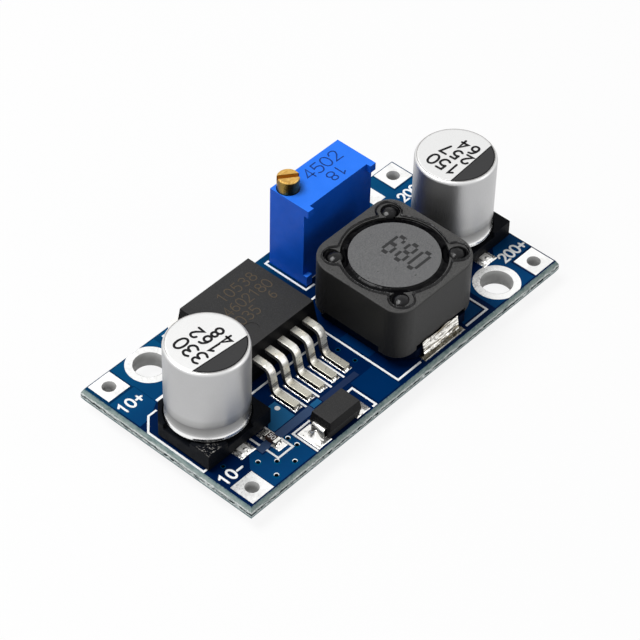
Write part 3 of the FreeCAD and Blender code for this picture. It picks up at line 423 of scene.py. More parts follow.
def makeLeadFrame():
    # Warm tin on the bent leads, with painted highlights on the bends and painted shade on the
    # sheared sides, darkest near the pad.
    material, tree = startMaterial("leadFrame", (0.80, 0.77, 0.69), 0.30, 0.5, 0.3)
    above = maths(tree, "SUBTRACT", coordinate(tree, "Z"), padTop / mm)
    warm = grain(tree, 0.9, 0.55, 0.78, detail=2.0)
    tone = blend(tree, warm, ramp(tree, above, leadLightBands, 3.2), (0.80, 0.62, 0.34), 0.35)
    # painted shade: the sheared sides get a dark colour, darker still towards the pad
    sheared = maths(tree, "GREATER_THAN", eitherWay(tree, "X"), 0.72)
    sideShadeHeight = rescale(tree, above, 0.5, 1.4)
    side = blend(tree, sideShadeHeight, (0.014, 0.014, 0.013), (0.150, 0.145, 0.140))
    tone = blend(tree, sheared, tone, side)
    # plain where the tab comes out behind the body
    back = middle("regulator_body").y / mm
    behind = rescale(tree, coordinate(tree, "Y"), back, back + 0.5)
    setColour(material, blend(tree, behind, tone, (0.99, 0.98, 0.95)))
    fine = grain(tree, 0.25, 0.35, 0.65)
    setRoughness(material, fine, 0.26, 0.36)
    addBump(material, fine, 0.001)
    return material


def makeFoldedTin():
    # Folded tinned strip: bright where it lies flat, with painted shade on the faces that stand
    # upright.
    material, tree = startMaterial("foldedTin", (0.8, 0.79, 0.75), 0.2, 1.0)
    # painted shade: upright faces take a dark grey, flat faces a bright tin
    up = rescale(tree, eitherWay(tree, "Z"), 0.1, 0.75)
    tone = blend(tree, up, (0.11, 0.11, 0.105), (0.95, 0.94, 0.89))
    cloud = grain(tree, 0.5, 0.45, 0.65, detail=2.0)
    setColour(material, blend(tree, cloud, tone, (0.50, 0.49, 0.45), 0.5))
    addBump(material, grain(tree, 0.3, 0.3, 0.7), 0.006)
    return material


def makeMoulding():
    # Black moulding compound: matt on top, smoother on its sides, which are painted darker with
    # less sheen as painted shade.
    material, tree = startMaterial("moulding", (0.034, 0.034, 0.035), 0.45, specular=0.18)
    speck = grain(tree, 0.07, 0.50, 0.72, detail=2.0)
    worn = grain(tree, 2.4, 0.40, 0.70, detail=4.0)
    tone = blend(tree, speck, (0.022, 0.022, 0.0225), (0.042, 0.042, 0.042))
    tone = blend(tree, worn, tone, (0.032, 0.031, 0.030), 0.4)
    # painted shade: the sides take a near-black colour and a lower specular level
    up = facingUp(tree, 0.4, 0.95)
    setColour(material, blend(tree, up, (0.0045, 0.0045, 0.005), tone))
    setRoughness(material, worn, 0.40, 0.55)
    feed(material, "Specular IOR Level", rescale(tree, up, 0, 1, 0.06, 0.18))
    addBump(material, grain(tree, 0.08, 0.3, 0.7), 0.006)
    return material


def makeFerrite(name, dark, pale, roughness, side=1.0):
    # Ground ferrite: matt grey-black with pores; its sides are painted darker than its top, and
    # faces turned towards -x darker still, as painted shade.
    material, tree = startMaterial(name, dark, roughness, specular=0.15)
    fine = grain(tree, 0.09, 0.42, 0.62)
    pores = grain(tree, 0.22, 0.66, 0.74)
    tone = blend(tree, fine, dark, pale)
    tone = blend(tree, pores, tone, [0.35 * part for part in dark])
    # painted shade: side is the share of the dark colour that the sides keep; faces turned to -x
    # get a darker copy
    up = facingUp(tree, 0.3, 0.95)
    shaded = rescale(tree, facing(tree, "X"), -0.35, -0.85)
    lit, unlit = ([share * part for part in dark] for share in (side, 0.20))
    setColour(material, blend(tree, up, blend(tree, shaded, lit, unlit), tone))
    setRoughness(material, fine, roughness * 0.9, roughness * 1.1)
    addBump(material, grain(tree, 0.11, 0.3, 0.7), 0.008)
    addBump(material, maths(tree, "SUBTRACT", 1.0, pores), 0.015)
    return material


canFootLightBands = [  # painted shade in the groove and painted highlights on the bead round the foot of a can: mm above the board, and how pale it is
    (2.00, 0.60), (2.24, 0.92), (2.56, 0.94), (2.70, 0.42), (2.92, 0.26), (3.15, 0.21),
    (3.40, 0.15), (3.55, 0.12), (3.75, 0.23), (4.00, 0.33), (4.30, 0.40), (4.90, 0.44),
]


def makeCan():
    # Drawn aluminium: satin sides with a fine grain, a top painted whiter as painted light, and
    # painted shade and highlights round the foot.
    material, tree = startMaterial("canAluminium", (0.62, 0.62, 0.62), 0.38, 1.0)
    drawn = grain(tree, 0.07, 0.35, 0.65, stretch=(1, 1, 0.15))
    fine = grain(tree, 0.10, 0.3, 0.7)
    cloud = grain(tree, 1.8, 0.35, 0.7)
    tone = blend(tree, fine, (0.50, 0.50, 0.505), (0.43, 0.43, 0.435), 0.3)
    tone = blend(tree, cloud, tone, (0.44, 0.44, 0.44), 0.25)
    above = maths(tree, "SUBTRACT", coordinate(tree, "Z"), boardTop / mm)
    # painted shade in the groove and painted highlights on the bead
    bands = ramp(tree, above, [(place, [share] * 3) for place, share in canFootLightBands], 5.0)
    tone = blend(tree, rescale(tree, above, 4.9, 4.5), tone, bands)
    # painted light: the top takes a paler colour than the sides
    up = facingUp(tree, 0.25, 0.9)
    top = blend(tree, fine, (0.80, 0.80, 0.795), (0.75, 0.75, 0.745))
    setColour(material, blend(tree, up, tone, top))
    feed(material, "Roughness", rescale(tree, above, 3.1, 2.7, 0.38, 0.24))
    # painted highlight: below 2.2 mm the bead is mostly non-metal, so its pale band shows as a
    # bright line
    feed(material, "Metallic", rescale(tree, above, 2.18, 2.26, 0.15, 1.0))
    addBump(material, drawn, 0.003)
    addBump(material, fine, 0.003)
    return material


def makeGlue():
    # Black glue; its specular level is cut low in the valleys as painted shade, so they stay black
    # while the crests shine.
    material, tree = startMaterial("glue", (0.0015, 0.0015, 0.002), 0.2, specular=0.32)
    setRoughness(material, grain(tree, 0.6, 0.35, 0.7), 0.18, 0.30)
    top = highOf("inductor_core").z / mm
    valleyShadeSpecular = rescale(tree, coordinate(tree, "Z"), top - 0.26, top + 0.10, 0.02, 0.30)
    feed(material, "Specular IOR Level", valleyShadeSpecular)
    addBump(material, grain(tree, 0.30, 0.3, 0.7), 0.010)
    return material


def makePlastic(name, dark, pale, roughness, specular=0.25):
    # Moulded plastic with a fine spark-eroded grain.
    material, tree = startMaterial(name, dark, roughness, specular=specular)
    fine = grain(tree, 0.12, 0.35, 0.68)
    setColour(material, blend(tree, fine, dark, pale))
    setRoughness(material, grain(tree, 0.8), roughness * 0.85, roughness * 1.15)
    addBump(material, fine, 0.006)
    return material


def makeBasePlastic():
    # Black base plastic, with a scuffed corner under the input capacitor.
    dark, pale = (0.0025, 0.0032, 0.0050), (0.0052, 0.0062, 0.0090)
    material = makePlastic("basePlastic", dark, pale, 0.42, 0.03)
    tree = material.node_tree
    away = addNode(
        tree, "ShaderNodeVectorMath",
        {0: inMillimetres(tree), 1: at(0.95, 6.1, 2.0) / mm}, operation="DISTANCE",
    ).outputs["Value"]
    scuffs = times(tree, rescale(tree, away, 1.3, 0.5), grain(tree, 0.16, 0.56, 0.64, detail=4.0))
    share = times(tree, scuffs, maths(tree, "GREATER_THAN", facing(tree, "Z"), 0.6))
    setColour(material, blend(tree, share, toneOf(material), (0.34, 0.33, 0.31)))
    addBump(material, share, 0.05)
    return material


def makeTrimmerBlue():
    # Blue moulded housing, faintly mottled, with a satin skin; its sides are painted a darker blue
    # than its top as painted shade.
    material, tree = startMaterial("trimmerPlastic", (0.015, 0.20, 0.90), 0.38, specular=0.09)
    cloud = grain(tree, 2.2, 0.35, 0.7, detail=2.0)
    top = blend(tree, cloud, (0.030, 0.205, 0.94), (0.024, 0.185, 0.88))
    # painted shade: a darker blue for the sides
    side = blend(tree, cloud, (0.006, 0.100, 0.62), (0.004, 0.088, 0.56))
    up = facingUp(tree, 0.4, 0.95)
    setColour(material, blend(tree, up, side, top))
    setRoughness(material, grain(tree, 0.5), 0.33, 0.45)
    addBump(material, grain(tree, 0.14, 0.3, 0.7), 0.004)
    return material


brassSideReflections = [  # painted reflections round the screw's side, from its right (0) to its left (1)
    (0.00, (0.30, 0.20, 0.055)), (0.30, (0.11, 0.085, 0.035)), (0.42, (0.030, 0.020, 0.006)),
    (0.58, (0.035, 0.022, 0.006)), (0.72, (0.42, 0.28, 0.07)), (1.00, (0.13, 0.08, 0.02)),
]


def makeBrass():
    # Turned brass: a brushed top, an amber slot, and sides with painted reflections in dark and
    # golden upright streaks.
    material, tree = startMaterial("screwBrass", (0.72, 0.42, 0.10), 0.30, 1.0)
    brushed = grain(tree, 0.14, 0.3, 0.7, stretch=(0.35, 2.0, 1.0))
    stain = grain(tree, 0.5, 0.45, 0.75, detail=4.0)
    tone = blend(tree, brushed, (0.88, 0.58, 0.19), (0.54, 0.28, 0.045))
    tone = blend(tree, stain, tone, (0.26, 0.12, 0.02), 0.4)
    slant = times(tree, facing(tree, "Y"), 0.6)
    slant = maths(tree, "MULTIPLY_ADD", facing(tree, "X"), -0.8, slant)
    side = ramp(tree, rescale(tree, slant, -1.0, 1.0), brassSideReflections)
    tone = blend(tree, facingUp(tree, 0.4, 0.8), side, tone)
    # the slot is whatever lies within the rim and below the top face
    axis, rim = middle("trimmer_screw") / mm, highOf("trimmer_screw") / mm
    across = maths(tree, "SUBTRACT", coordinate(tree, "X"), axis.x)
    along = maths(tree, "SUBTRACT", coordinate(tree, "Y"), axis.y)
    square = maths(tree, "ADD", times(tree, across, across), times(tree, along, along))
    within = maths(tree, "LESS_THAN", square, (rim.x - axis.x - 0.08) ** 2)
    sunk = maths(tree, "LESS_THAN", coordinate(tree, "Z"), rim.z - 0.03)
    slot = times(tree, within, sunk)
    setColour(material, blend(tree, slot, tone, (0.55, 0.24, 0.020)))
    feed(material, "Metallic", rescale(tree, slot, 0, 1, 1.0, 0.2))
    setRoughness(material, brushed, 0.22, 0.40)
    addBump(material, brushed, 0.010)
    return material


def makeWinding():
    # Turns of enamelled copper wire, painted dark in the grooves between turns as painted shade.
    material, tree = startMaterial("copperWire", (0.55, 0.19, 0.06), 0.28, 1.0)
    turns = addNode(
        tree, "ShaderNodeTexWave",
        {"Vector": inMillimetres(tree), "Scale": 0.75, "Distortion": 0.4, "Detail": 1.0},
        bands_direction="Z",
    ).outputs["Fac"]
    setColour(material, blend(tree, turns, (0.20, 0.05, 0.015), (0.66, 0.24, 0.08)))
    addBump(material, turns, 0.10)
    return material


def makeInk(name, tone, roughness=0.5, patchy=0.18):
    # Printed ink, not quite even.
    material, tree = startMaterial(name, tone, roughness, specular=0.12)
    thin = grain(tree, 0.14, 0.45, 0.75, detail=4.0)
    worn = [(1 - patchy) * part + 0.004 for part in tone]
    setColour(material, blend(tree, thin, tone, worn))
    addBump(material, thin, 0.003)
    return material


finishes = {finish: makeMask(*tones) for finish, tones in maskTones.items()}
addLaminate(finishes["board"])
finishes.update({
    "tin": makeTin("tinPlate", (0.96, 0.96, 0.95), 0.34),
    "tabTin": makeTin("tabPlating", (0.92, 0.90, 0.86), 0.30, (0.50, 0.42, 0.28), 0.6),
    "holeTin": makeTin("holePlating", (0.36, 0.36, 0.355), 0.55, (0.28, 0.28, 0.275), 0.15),
    "stubTin": makeTin("leadStubs", (0.95, 0.94, 0.91), 0.30, metallic=0.35),
    # painted shade: the via barrels are coloured near black so the holes read as shaded
    "viaTin": makeTin("viaPlatingPaintedShade", (0.012, 0.014, 0.016), 0.6, (0.008, 0.009, 0.010)),
    "solder": makeSolder("solder", (0.96, 0.95, 0.92), (0.16, 0.15, 0.13), 0.62),
    "dullSolder": makeSolder("dullSolder", (0.10, 0.092, 0.072), (0.50, 0.48, 0.42), 0.64),
    "crumple": makeCrumple(),
    # painted shadow: near-black strips beside the lead feet
    "flux": makePlastic("leadGapShade", (0.006, 0.006, 0.007), (0.030, 0.022, 0.010), 0.3, 0.2),
    "lead": makeLeadFrame(),
    "folded": makeFoldedTin(),
    "moulding": makeMoulding(),
    "ferrite": makeFerrite("ferrite", (0.050, 0.050, 0.050), (0.094, 0.093, 0.091), 0.48, 0.66),
    "drum": makeFerrite("groundFerrite", (0.112, 0.113, 0.115), (0.172, 0.173, 0.175), 0.60),
    "winding": makeWinding(),
    "glue": makeGlue(),
    "can": makeCan(),
    "base": makeBasePlastic(),
    # painted shade: the inductor's base is coloured like shaded board
    "inner": makePlastic("inductorBaseShadedBoardTone", (0.0008, 0.003, 0.012), (0.001, 0.004, 0.016), 0.6, 0.02),
    "trimmer": makeTrimmerBlue(),
    "brass": makeBrass(),
    "ceramic": makePlastic("resistorCoat", (0.018, 0.008, 0.005), (0.050, 0.020, 0.010), 0.30),
    "whiteInk": makeInk("whiteInk", (0.96, 0.97, 0.97), 0.45, patchy=0.06),
    "blackInk": makeInk("blackInk", (0.006, 0.006, 0.007), 0.40),
    "paleInk": makeInk("paleRimLine", (0.42, 0.41, 0.40)),
    "greyInk": makeInk("greyInk", (0.042, 0.042, 0.043), 0.42),
    "digitInk": makeInk("inductorInk", (0.034, 0.034, 0.035)),
    "blueInk": makeInk("darkBlueInk", (0.006, 0.040, 0.22), 0.40),
    "brownInk": makeInk("brownEngraving", (0.088, 0.068, 0.046), patchy=0.35),
})
print("materials made:", len(finishes))


# finishes for the parts that keep their shape
sides = ("input", "output")
ends = ("front", "back")
leads = ["regulator_tab"] + [f"regulator_lead_{number}" for number in (1, 2, 4, 5)]
straps = [f"diode_strap_{side}_side" for side in sides]
bases = [f"{side}_capacitor_base" for side in sides]
soldered = (
    "trimmer", "regulator", "diode", "inductor", "input_capacitor", "output_capacitor", "resistor",
)
dressing = {
    "board": ["circuit_board"],
    "tin": ["wire_pads", "mounting_rings", "component_pads", "pin_barrels"],
    "viaTin": ["via_barrels"],
    "tabTin": [f"trimmer_pin_{number}" for number in (1, 2, 3)],
    "lead": leads,
    "folded": straps + [f"inductor_clip_{end}" for end in ends] + ["resistor_ends"],
    "stubTin": [f"{side}_capacitor_lead_{end}" for side in sides for end in ends],
    "solder": [f"{owner}_solder" for owner in soldered],
    "moulding": ["regulator_body", "diode_body"],
    "ferrite": ["inductor_shield"],
    "drum": ["inductor_core"],
    "winding": ["inductor_winding"],
    "glue": ["inductor_glue"],
    "can": [f"{side}_capacitor_can" for side in sides],
    "base": bases,
    "inner": ["inductor_base"],
    "trimmer": ["trimmer_housing"],
    "brass": ["trimmer_screw"],
    "ceramic": ["resistor_body"],
}
softEdges = {  # nodes with rounded edges, by the width of the rounding in mm
    0.03: ["diode_body"] + straps,
    0.04: ["resistor_body", "trimmer_screw"] + leads,
    0.05: ["inductor_shield", "inductor_base", "resistor_ends"],
    0.06: ["regulator_body", "trimmer_housing"],
    0.07: bases,
}


def softenEdges(item, width):
    weld = item.modifiers.new("weld", "WELD")
    weld.merge_threshold = 0.001 * mm
    bevel = item.modifiers.new("soft edges", "BEVEL")
    bevel.width = width * mm
    bevel.segments = 2
    bevel.limit_method = "ANGLE"
    bevel.angle_limit = math.radians(32)
    bevel.use_clamp_overlap = True
    item.modifiers.new("even shading", "WEIGHTED_NORMAL").keep_sharp = True


for finish, names in dressing.items():
    for name in names:
        for place in nodes[name].material_slots:
            place.material = finishes[finish]
for width, names in softEdges.items():
    for name in names:
        softenEdges(nodes[name], width)
print("parts dressed")


# mesh helpers
def addPiece(name, bm, finish, hides=(), smooth=False):
    bmesh.ops.recalc_face_normals(bm, faces=bm.faces)
    mesh = bpy.data.meshes.new(name)
    bm.to_mesh(mesh)
    bm.free()
    mesh.materials.append(finishes[finish])
    if smooth:
        mesh.shade_smooth()
    piece = bpy.data.objects.new(name, mesh)
    scene.collection.objects.link(piece)
    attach(piece, "module")
    if hides:
        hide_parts(*hides)


def thicken(bm, faces, lift):
    # Turns a flat sheet of faces into a closed solid, its new side lifted by the vector.
    made = bmesh.ops.extrude_face_region(bm, geom=faces)
    risen = [part for part in made["geom"] if isinstance(part, bmesh.types.BMVert)]
    bmesh.ops.translate(bm, verts=risen, vec=lift)


def addPlate(bm, corners, lift):
    thicken(bm, [bm.faces.new([bm.verts.new(corner) for corner in corners])], lift)


def polar(x, y, radius, angle):
    return x + radius * math.cos(angle), y + radius * math.sin(angle)


def circle(x, y, radius, count=24):
    return [polar(x, y, radius, 2 * math.pi * step / count) for step in range(count)]


def addSheet(bm, loops, lift):
    # a thin plate with holes: the first loop of corners is its outline
    edges = []
    for loop in loops:
        corners = [bm.verts.new(corner) for corner in loop]
        edges += [bm.edges.new(pair) for pair in zip(corners[-1:] + corners[:-1], corners)]
    made = bmesh.ops.triangle_fill(bm, edges=edges, use_beauty=True)
    thicken(bm, [part for part in made["geom"] if isinstance(part, bmesh.types.BMFace)], lift)


def addCells(bm, rows, corner, along, up, lift):
    # a digit drawn in square cells; rows are read from the top down
    spots, faces = {}, []

    def spot(column, row):
        if (column, row) not in spots:
            spots[column, row] = bm.verts.new(corner + along * column + up * row)
        return spots[column, row]

    for row, marks in enumerate(reversed(rows)):
        for column, mark in enumerate(marks):
            if mark == "#":
                ring = ((column, row), (column + 1, row), (column + 1, row + 1), (column, row + 1))
                faces.append(bm.faces.new([spot(*key) for key in ring]))
    thicken(bm, faces, lift)


def sideStep(points, index, closed):
    # The mitred sideways step at one point of a line, as a unit pen's half width.
    ways = []
    if closed or index > 0:
        ways.append((points[index] - points[index - 1]).normalized())
    if closed or index < len(points) - 1:
        ways.append((points[(index + 1) % len(points)] - points[index]).normalized())
    first, last = (Vector((-way.y, way.x)) for way in (ways[0], ways[-1]))
    both = (first + last).normalized()
    return both / max(0.5, both.dot(first))


def addStroke(bm, points, pen, place, lift, closed=False, roundEnds=True):
    # One flat stroke of ink along 2-D points; place turns a 2-D point into a place in space.
    points = [Vector(point) for point in points]
    half = pen / 2
    left, right = [], []
    for index, point in enumerate(points):
        step = sideStep(points, index, closed) * half
        left.append(bm.verts.new(place(point + step)))
        right.append(bm.verts.new(place(point - step)))
    faces = []
    for index in range(len(points) if closed else len(points) - 1):
        after = (index + 1) % len(points)
        faces.append(bm.faces.new((left[index], left[after], right[after], right[index])))
    if not closed and roundEnds:
        for end, other, first, second in ((0, 1, left, right), (-1, -2, right, left)):
            outward = (points[end] - points[other]).normalized() * half
            across = Vector((outward.y, -outward.x)) * (1 if end == 0 else -1)
            ring = [first[end]]
            for step in range(1, 6):
                angle = math.pi * step / 6
                point = points[end] + across * math.cos(angle) + outward * math.sin(angle)
                ring.append(bm.verts.new(place(point)))
            faces.append(bm.faces.new(ring + [second[end]]))
    thicken(bm, faces, lift)


def smoothLine(points, closed=False, steps=5):
    # A curve through the points.
    points = [Vector(point) for point in points]
    if closed:
        padded = points[-1:] + points + points[:2]
    else:
        padded = [points[0] * 2 - points[1]] + points + [points[-1] * 2 - points[-2]]
    line = []
    for p0, p1, p2, p3 in zip(padded, padded[1:], padded[2:], padded[3:]):
        for step in range(steps):
            t = step / steps
            bend = (2 * p0 - 5 * p1 + 4 * p2 - p3) * t ** 2 + (3 * p1 - p0 - 3 * p2 + p3) * t ** 3
            line.append(0.5 * (2 * p1 + (p2 - p0) * t + bend))
    return line if closed else line + points[-1:]


# Plain digits and signs, one unit high and 0.6 wide: (kind of line, its points)
glyphs = {
    "0": [("loop", [
        (0.3, 1), (0.52, 0.86), (0.6, 0.5), (0.52, 0.14),
        (0.3, 0), (0.08, 0.14), (0, 0.5), (0.08, 0.86),
    ])],
    "1": [("line", [(0.1, 0.8), (0.36, 1), (0.36, 0)])],
    "2": [("curve", [
              (0.02, 0.76), (0.12, 0.94), (0.3, 1), (0.5, 0.92), (0.57, 0.72), (0.45, 0.45),
          ]),
          ("line", [(0.45, 0.45), (0.02, 0), (0.6, 0)])],
    "3": [("curve", [(0.04, 0.9), (0.28, 1), (0.52, 0.88), (0.52, 0.66), (0.26, 0.54)]),
          ("curve", [
              (0.26, 0.54), (0.52, 0.46), (0.6, 0.26), (0.46, 0.04), (0.24, 0), (0.02, 0.1),
          ])],
    "4": [("line", [(0.44, 0), (0.44, 1), (0, 0.3), (0.6, 0.3)])],
    "5": [("line", [(0.54, 1), (0.1, 1), (0.06, 0.56)]),
          ("curve", [
              (0.06, 0.56), (0.28, 0.64), (0.54, 0.52), (0.58, 0.28),
              (0.44, 0.05), (0.22, 0), (0.02, 0.09),
          ])],
    "6": [("curve", [(0.5, 0.97), (0.26, 0.9), (0.08, 0.62), (0.03, 0.3)]),
          ("loop", [
              (0.3, 0), (0.5, 0.08), (0.58, 0.3), (0.5, 0.5),
              (0.3, 0.58), (0.1, 0.5), (0.03, 0.3), (0.1, 0.08),
          ])],
    "7": [("line", [(0.02, 1), (0.6, 1), (0.24, 0)])],
    "8": [("loop", [
              (0.3, 1), (0.48, 0.94), (0.54, 0.76), (0.46, 0.6),
              (0.3, 0.54), (0.14, 0.6), (0.06, 0.76), (0.12, 0.94),
          ]),
          ("loop", [
              (0.3, 0.54), (0.52, 0.46), (0.6, 0.27), (0.5, 0.07),
              (0.3, 0), (0.1, 0.07), (0, 0.27), (0.08, 0.46),
          ])],
    "+": [("line", [(0.3, 0.12), (0.3, 0.72)]), ("line", [(0, 0.42), (0.6, 0.42)])],
    "-": [("line", [(0, 0.42), (0.6, 0.42)])],
}


def addText(bm, text, centre, height, pen, along, up, lift, pitch=0.85, width=1.0):
    # Writes digits about a centre; height and pen are in mm, along and up are unit vectors.
    along, up = Vector(along) * height * mm, Vector(up) * height * mm
    total = (len(text) - 1) * pitch + 0.6 * width
    for number, sign in enumerate(text):
        start = number * pitch - total / 2

        def place(point):
            return centre + along * (start + point.x * width) + up * (point.y - 0.5)

        for order, (kind, points) in enumerate(glyphs[sign]):
            line = points if kind == "line" else smoothLine(points, kind == "loop")
            # each stroke has its own level, so that no two faces lie in one plane
            level = 1 + 0.12 * (order + 2 * (number % 2))
            addStroke(bm, line, pen / height, place, lift * level, closed=kind == "loop")


def addRelief(bm, low, high, step, heightAt, floor):
    # A closed lump over a rectangle: heightAt(x, y) is its top, or None where there is none.
    columns = int(round((high[0] - low[0]) / step))
    rows = int(round((high[1] - low[1]) / step))
    corners = {}
    for i in range(columns + 1):
        for j in range(rows + 1):
            x = low[0] + (high[0] - low[0]) * i / columns
            y = low[1] + (high[1] - low[1]) * j / rows
            z = heightAt(x, y)
            if z is not None:
                corners[i, j] = bm.verts.new((x, y, z))
    tops = []
    for (i, j), corner in corners.items():
        ring = [corner] + [corners.get(key) for key in ((i + 1, j), (i + 1, j + 1), (i, j + 1))]
        if all(ring):
            tops.append(bm.faces.new(ring))
    loose = [corner for corner in corners.values() if not corner.link_faces]
    bmesh.ops.delete(bm, geom=loose, context="VERTS")
    made = bmesh.ops.extrude_face_region(bm, geom=tops)
    for part in made["geom"]:
        if isinstance(part, bmesh.types.BMVert):
            part.co.z = floor


def ripple(x, y, size, seed):
    # Smooth noise from -1 to 1 whose waves are about size mm long.
    return noise.noise(Vector((x / mm / size, y / mm / size, seed)))


def outsideBox(x, y, low, high):
    # How far a point lies outside a rectangle, in mm.
    return math.hypot(max(low[0] - x, 0, x - high[0]), max(low[1] - y, 0, y - high[1])) / mm


# printed board: mask over copper, white ink, hole walls
pours = {  # outlines in mm from the corner of the printed face
    "copper": [
        [(3.15, 0.15), (8.7, 0.15), (8.7, 3.45), (5.2, 3.45), (5.2, 4.6), (4.6, 4.6), (3.15, 3.1)],
        [(0.15, 13.9), (0.15, 17.85), (3.3, 17.85), (3.3, 15.0), (1.5, 14.0)],
        [(30.3, 0.95), (33.0, 0.95), (33.0, 3.0), (31.6, 4.4), (30.3, 4.4)],
        [
            (3.35, 14.3), (5.2, 14.3), (8.9, 16.4), (8.9, 20.85),
            (3.25, 20.85), (3.25, 17.95), (3.35, 17.85),
        ],
        [
            (38.75, 15.2), (42.85, 15.2), (42.85, 17.9), (39.9, 17.9),
            (39.9, 20.85), (34.0, 20.85), (34.0, 18.6), (38.75, 16.9),
        ],
        [
            (34.0, 0.15), (39.85, 0.15), (39.85, 3.1), (42.85, 3.1),
            (42.85, 5.6), (40.2, 5.6), (39.0, 4.4), (34.0, 4.4),
        ],
        [(9.6, 18.9), (9.6, 20.85), (22.9, 20.85), (22.9, 20.55), (10.0, 20.55)],
    ],
    "deep": [
        [(17.2, 0.15), (20.3, 0.15), (20.3, 3.6), (17.2, 3.6)],
        [(20.85, 4.6), (22.6, 4.6), (22.6, 8.2), (20.85, 8.2)],
    ],
    # painted light: the lighter patches of mask
    "light": [
        [(7.95, 4.62), (10.75, 4.62), (10.75, 7.15), (9.75, 7.15), (7.95, 5.35)],
        [(12.6, 3.95), (13.7, 3.95), (13.7, 4.55), (12.6, 4.55)],
    ],
    "slate": [[(5.3, 3.62), (8.7, 3.62), (12.5, 3.62), (12.5, 4.52), (5.3, 4.52)]],
    "dimSlate": [[(13.8, 3.75), (18.6, 3.75), (18.6, 4.4), (13.8, 4.4)]],
}
holes = {  # radius and centres of the plated holes
    "mounting": (1.6, [(6.25, 18.75), (36.75, 2.25)]),
    "wire": (0.68, [(1.7, 19.5), (1.7, 1.5), (41.45, 1.5), (41.45, 19.5)]),
    "skin": 0.015,
    "clearance": 0.35,  # from a mounting hole to the copper round it
}
vias = {
    "collared": [
        (8.22, 3.17), (8.20, 2.04), (4.25, 3.16), (5.50, 2.00), (6.60, 0.82), (4.24, 0.89),
    ],
    "plain": [(1.75, 5.10), (19.64, 7.33), (19.71, 5.26)],
    "hole": 0.19, "collar": 0.235, "inner": 0.20, "halo": 0.40, "plainHalo": 0.24,
    "shift": (0.050, 0.044),  # the collars are a little off the drilled holes
    "halfTurn": 108,  # degrees of collar to each side of that shift
}


def onBoard(points):
    return [at(x, y) for x, y in points]


def inOutline(x, y, outline):
    inside = False
    for (ax, ay), (bx, by) in zip(outline, outline[1:] + outline[:1]):
        if (ay > y) != (by > y) and x < (bx - ax) * (y - ay) / (by - ay) + ax:
            inside = not inside
    return inside


def buildPours():
    radius, centres = holes["mounting"]
    cuts = [(x, y, vias["hole"], 24) for x, y in vias["collared"] + vias["plain"]]
    cuts += [(x, y, radius + holes["clearance"], 64) for x, y in centres]
    for finish, outlines in pours.items():
        bm = bmesh.new()
        for outline in outlines:
            inner = [circle(*cut) for cut in cuts if inOutline(*cut[:2], outline)]
            addSheet(bm, map(onBoard, [outline] + inner), upBy(board["copperThickness"]))
        addPiece(finish + "_pour", bm, finish)


def buildVias():
    rise = board["copperThickness"] + 0.004
    bm = bmesh.new()
    for kind, size in (("collared", vias["halo"]), ("plain", vias["plainHalo"])):
        for spot in vias[kind]:
            rings = circle(*spot, size), circle(*spot, vias["hole"])
            addSheet(bm, map(onBoard, rings), upBy(rise))
    addPiece("via_mask", bm, "halo")
    bm = bmesh.new()
    dx, dy = vias["shift"]
    turns = [
        math.atan2(dy, dx) + math.radians(vias["halfTurn"]) * (step / 12 - 1) for step in range(25)
    ]
    for x, y in vias["collared"]:
        outer = [polar(x + dx, y + dy, vias["collar"], angle) for angle in turns]
        inner = [polar(x, y, vias["inner"], angle) for angle in reversed(turns)]
        addSheet(bm, [onBoard(outer + inner)], upBy(rise + 0.008))
    addPiece("via_collars", bm, "tin")


inkLines = [
    # input capacitor
    [(0.5, 5.92), (0.1, 5.92), (0.1, 12.85), (1.55, 14.27), (2.6, 14.27)],
    [(8.7, 12.85), (7.25, 14.27), (6.2, 14.27)],
    # resistor
    [(5.84, 5.66), (5.84, 4.42)],
    [(5.87, 3.62), (5.87, 2.17), (7.8, 2.17), (7.8, 3.66)],
    [(7.75, 4.45), (7.75, 5.66)],
    # diode
    [(8.92, 0.12), (8.92, 3.2), (11.2, 3.2)],
    [(16.2, 3.07), (16.85, 3.07), (16.85, 0.17), (16.4, 0.17)],
    # regulator, and between its leads
    [(9.95, 9.34), (20.3, 9.34)],
    *([(x, 4.55), (x, 7.9)] for x in (12.24, 13.96, 15.66, 17.4)),
    # inductor
    [(23.75, 0.68), (20.55, 0.68), (20.55, 13.6), (23.6, 13.6)],
    [(30.25, 0.62), (33.3, 0.62), (33.3, 13.6), (30.3, 13.6)],
    # trimmer
    [(24.0, 20.15), (23.5, 20.15), (23.5, 14.88), (24.65, 14.84)],
    [(24.9, 15.66), (25.7, 15.66)],
    # output capacitor
    [(34.2, 13.6), (35.6, 14.27), (36.6, 14.27)],
]
boardPrint = {
    "pen": 0.21, "textPen": 0.23, "textHeight": 1.12,
    "dot": (10.29, 6.39, 0.27, 16),  # at the regulator's first lead
    "texts": [  # text, place, spacing
        ("10+", (1.6, 16.6), 0.88), ("10-", (1.6, 3.92), 0.88),
        ("200+", (41.12, 3.92), 0.77), ("200-", (41.0, 16.7), 0.78),
    ],
}


def buildBoardPrint():
    lift = upBy(board["inkThickness"])
    pen, height = boardPrint["textPen"], boardPrint["textHeight"]
    bm = bmesh.new()
    for line in inkLines:
        addStroke(bm, line, boardPrint["pen"], lambda point: at(*point), lift, roundEnds=False)
    addPlate(bm, onBoard(circle(*boardPrint["dot"])), lift)
    for text, spot, pitch in boardPrint["texts"]:
        addText(bm, text, at(*spot), height, pen, (1, 0, 0), (0, 1, 0), lift, pitch)
    addPiece("board_print", bm, "whiteInk")


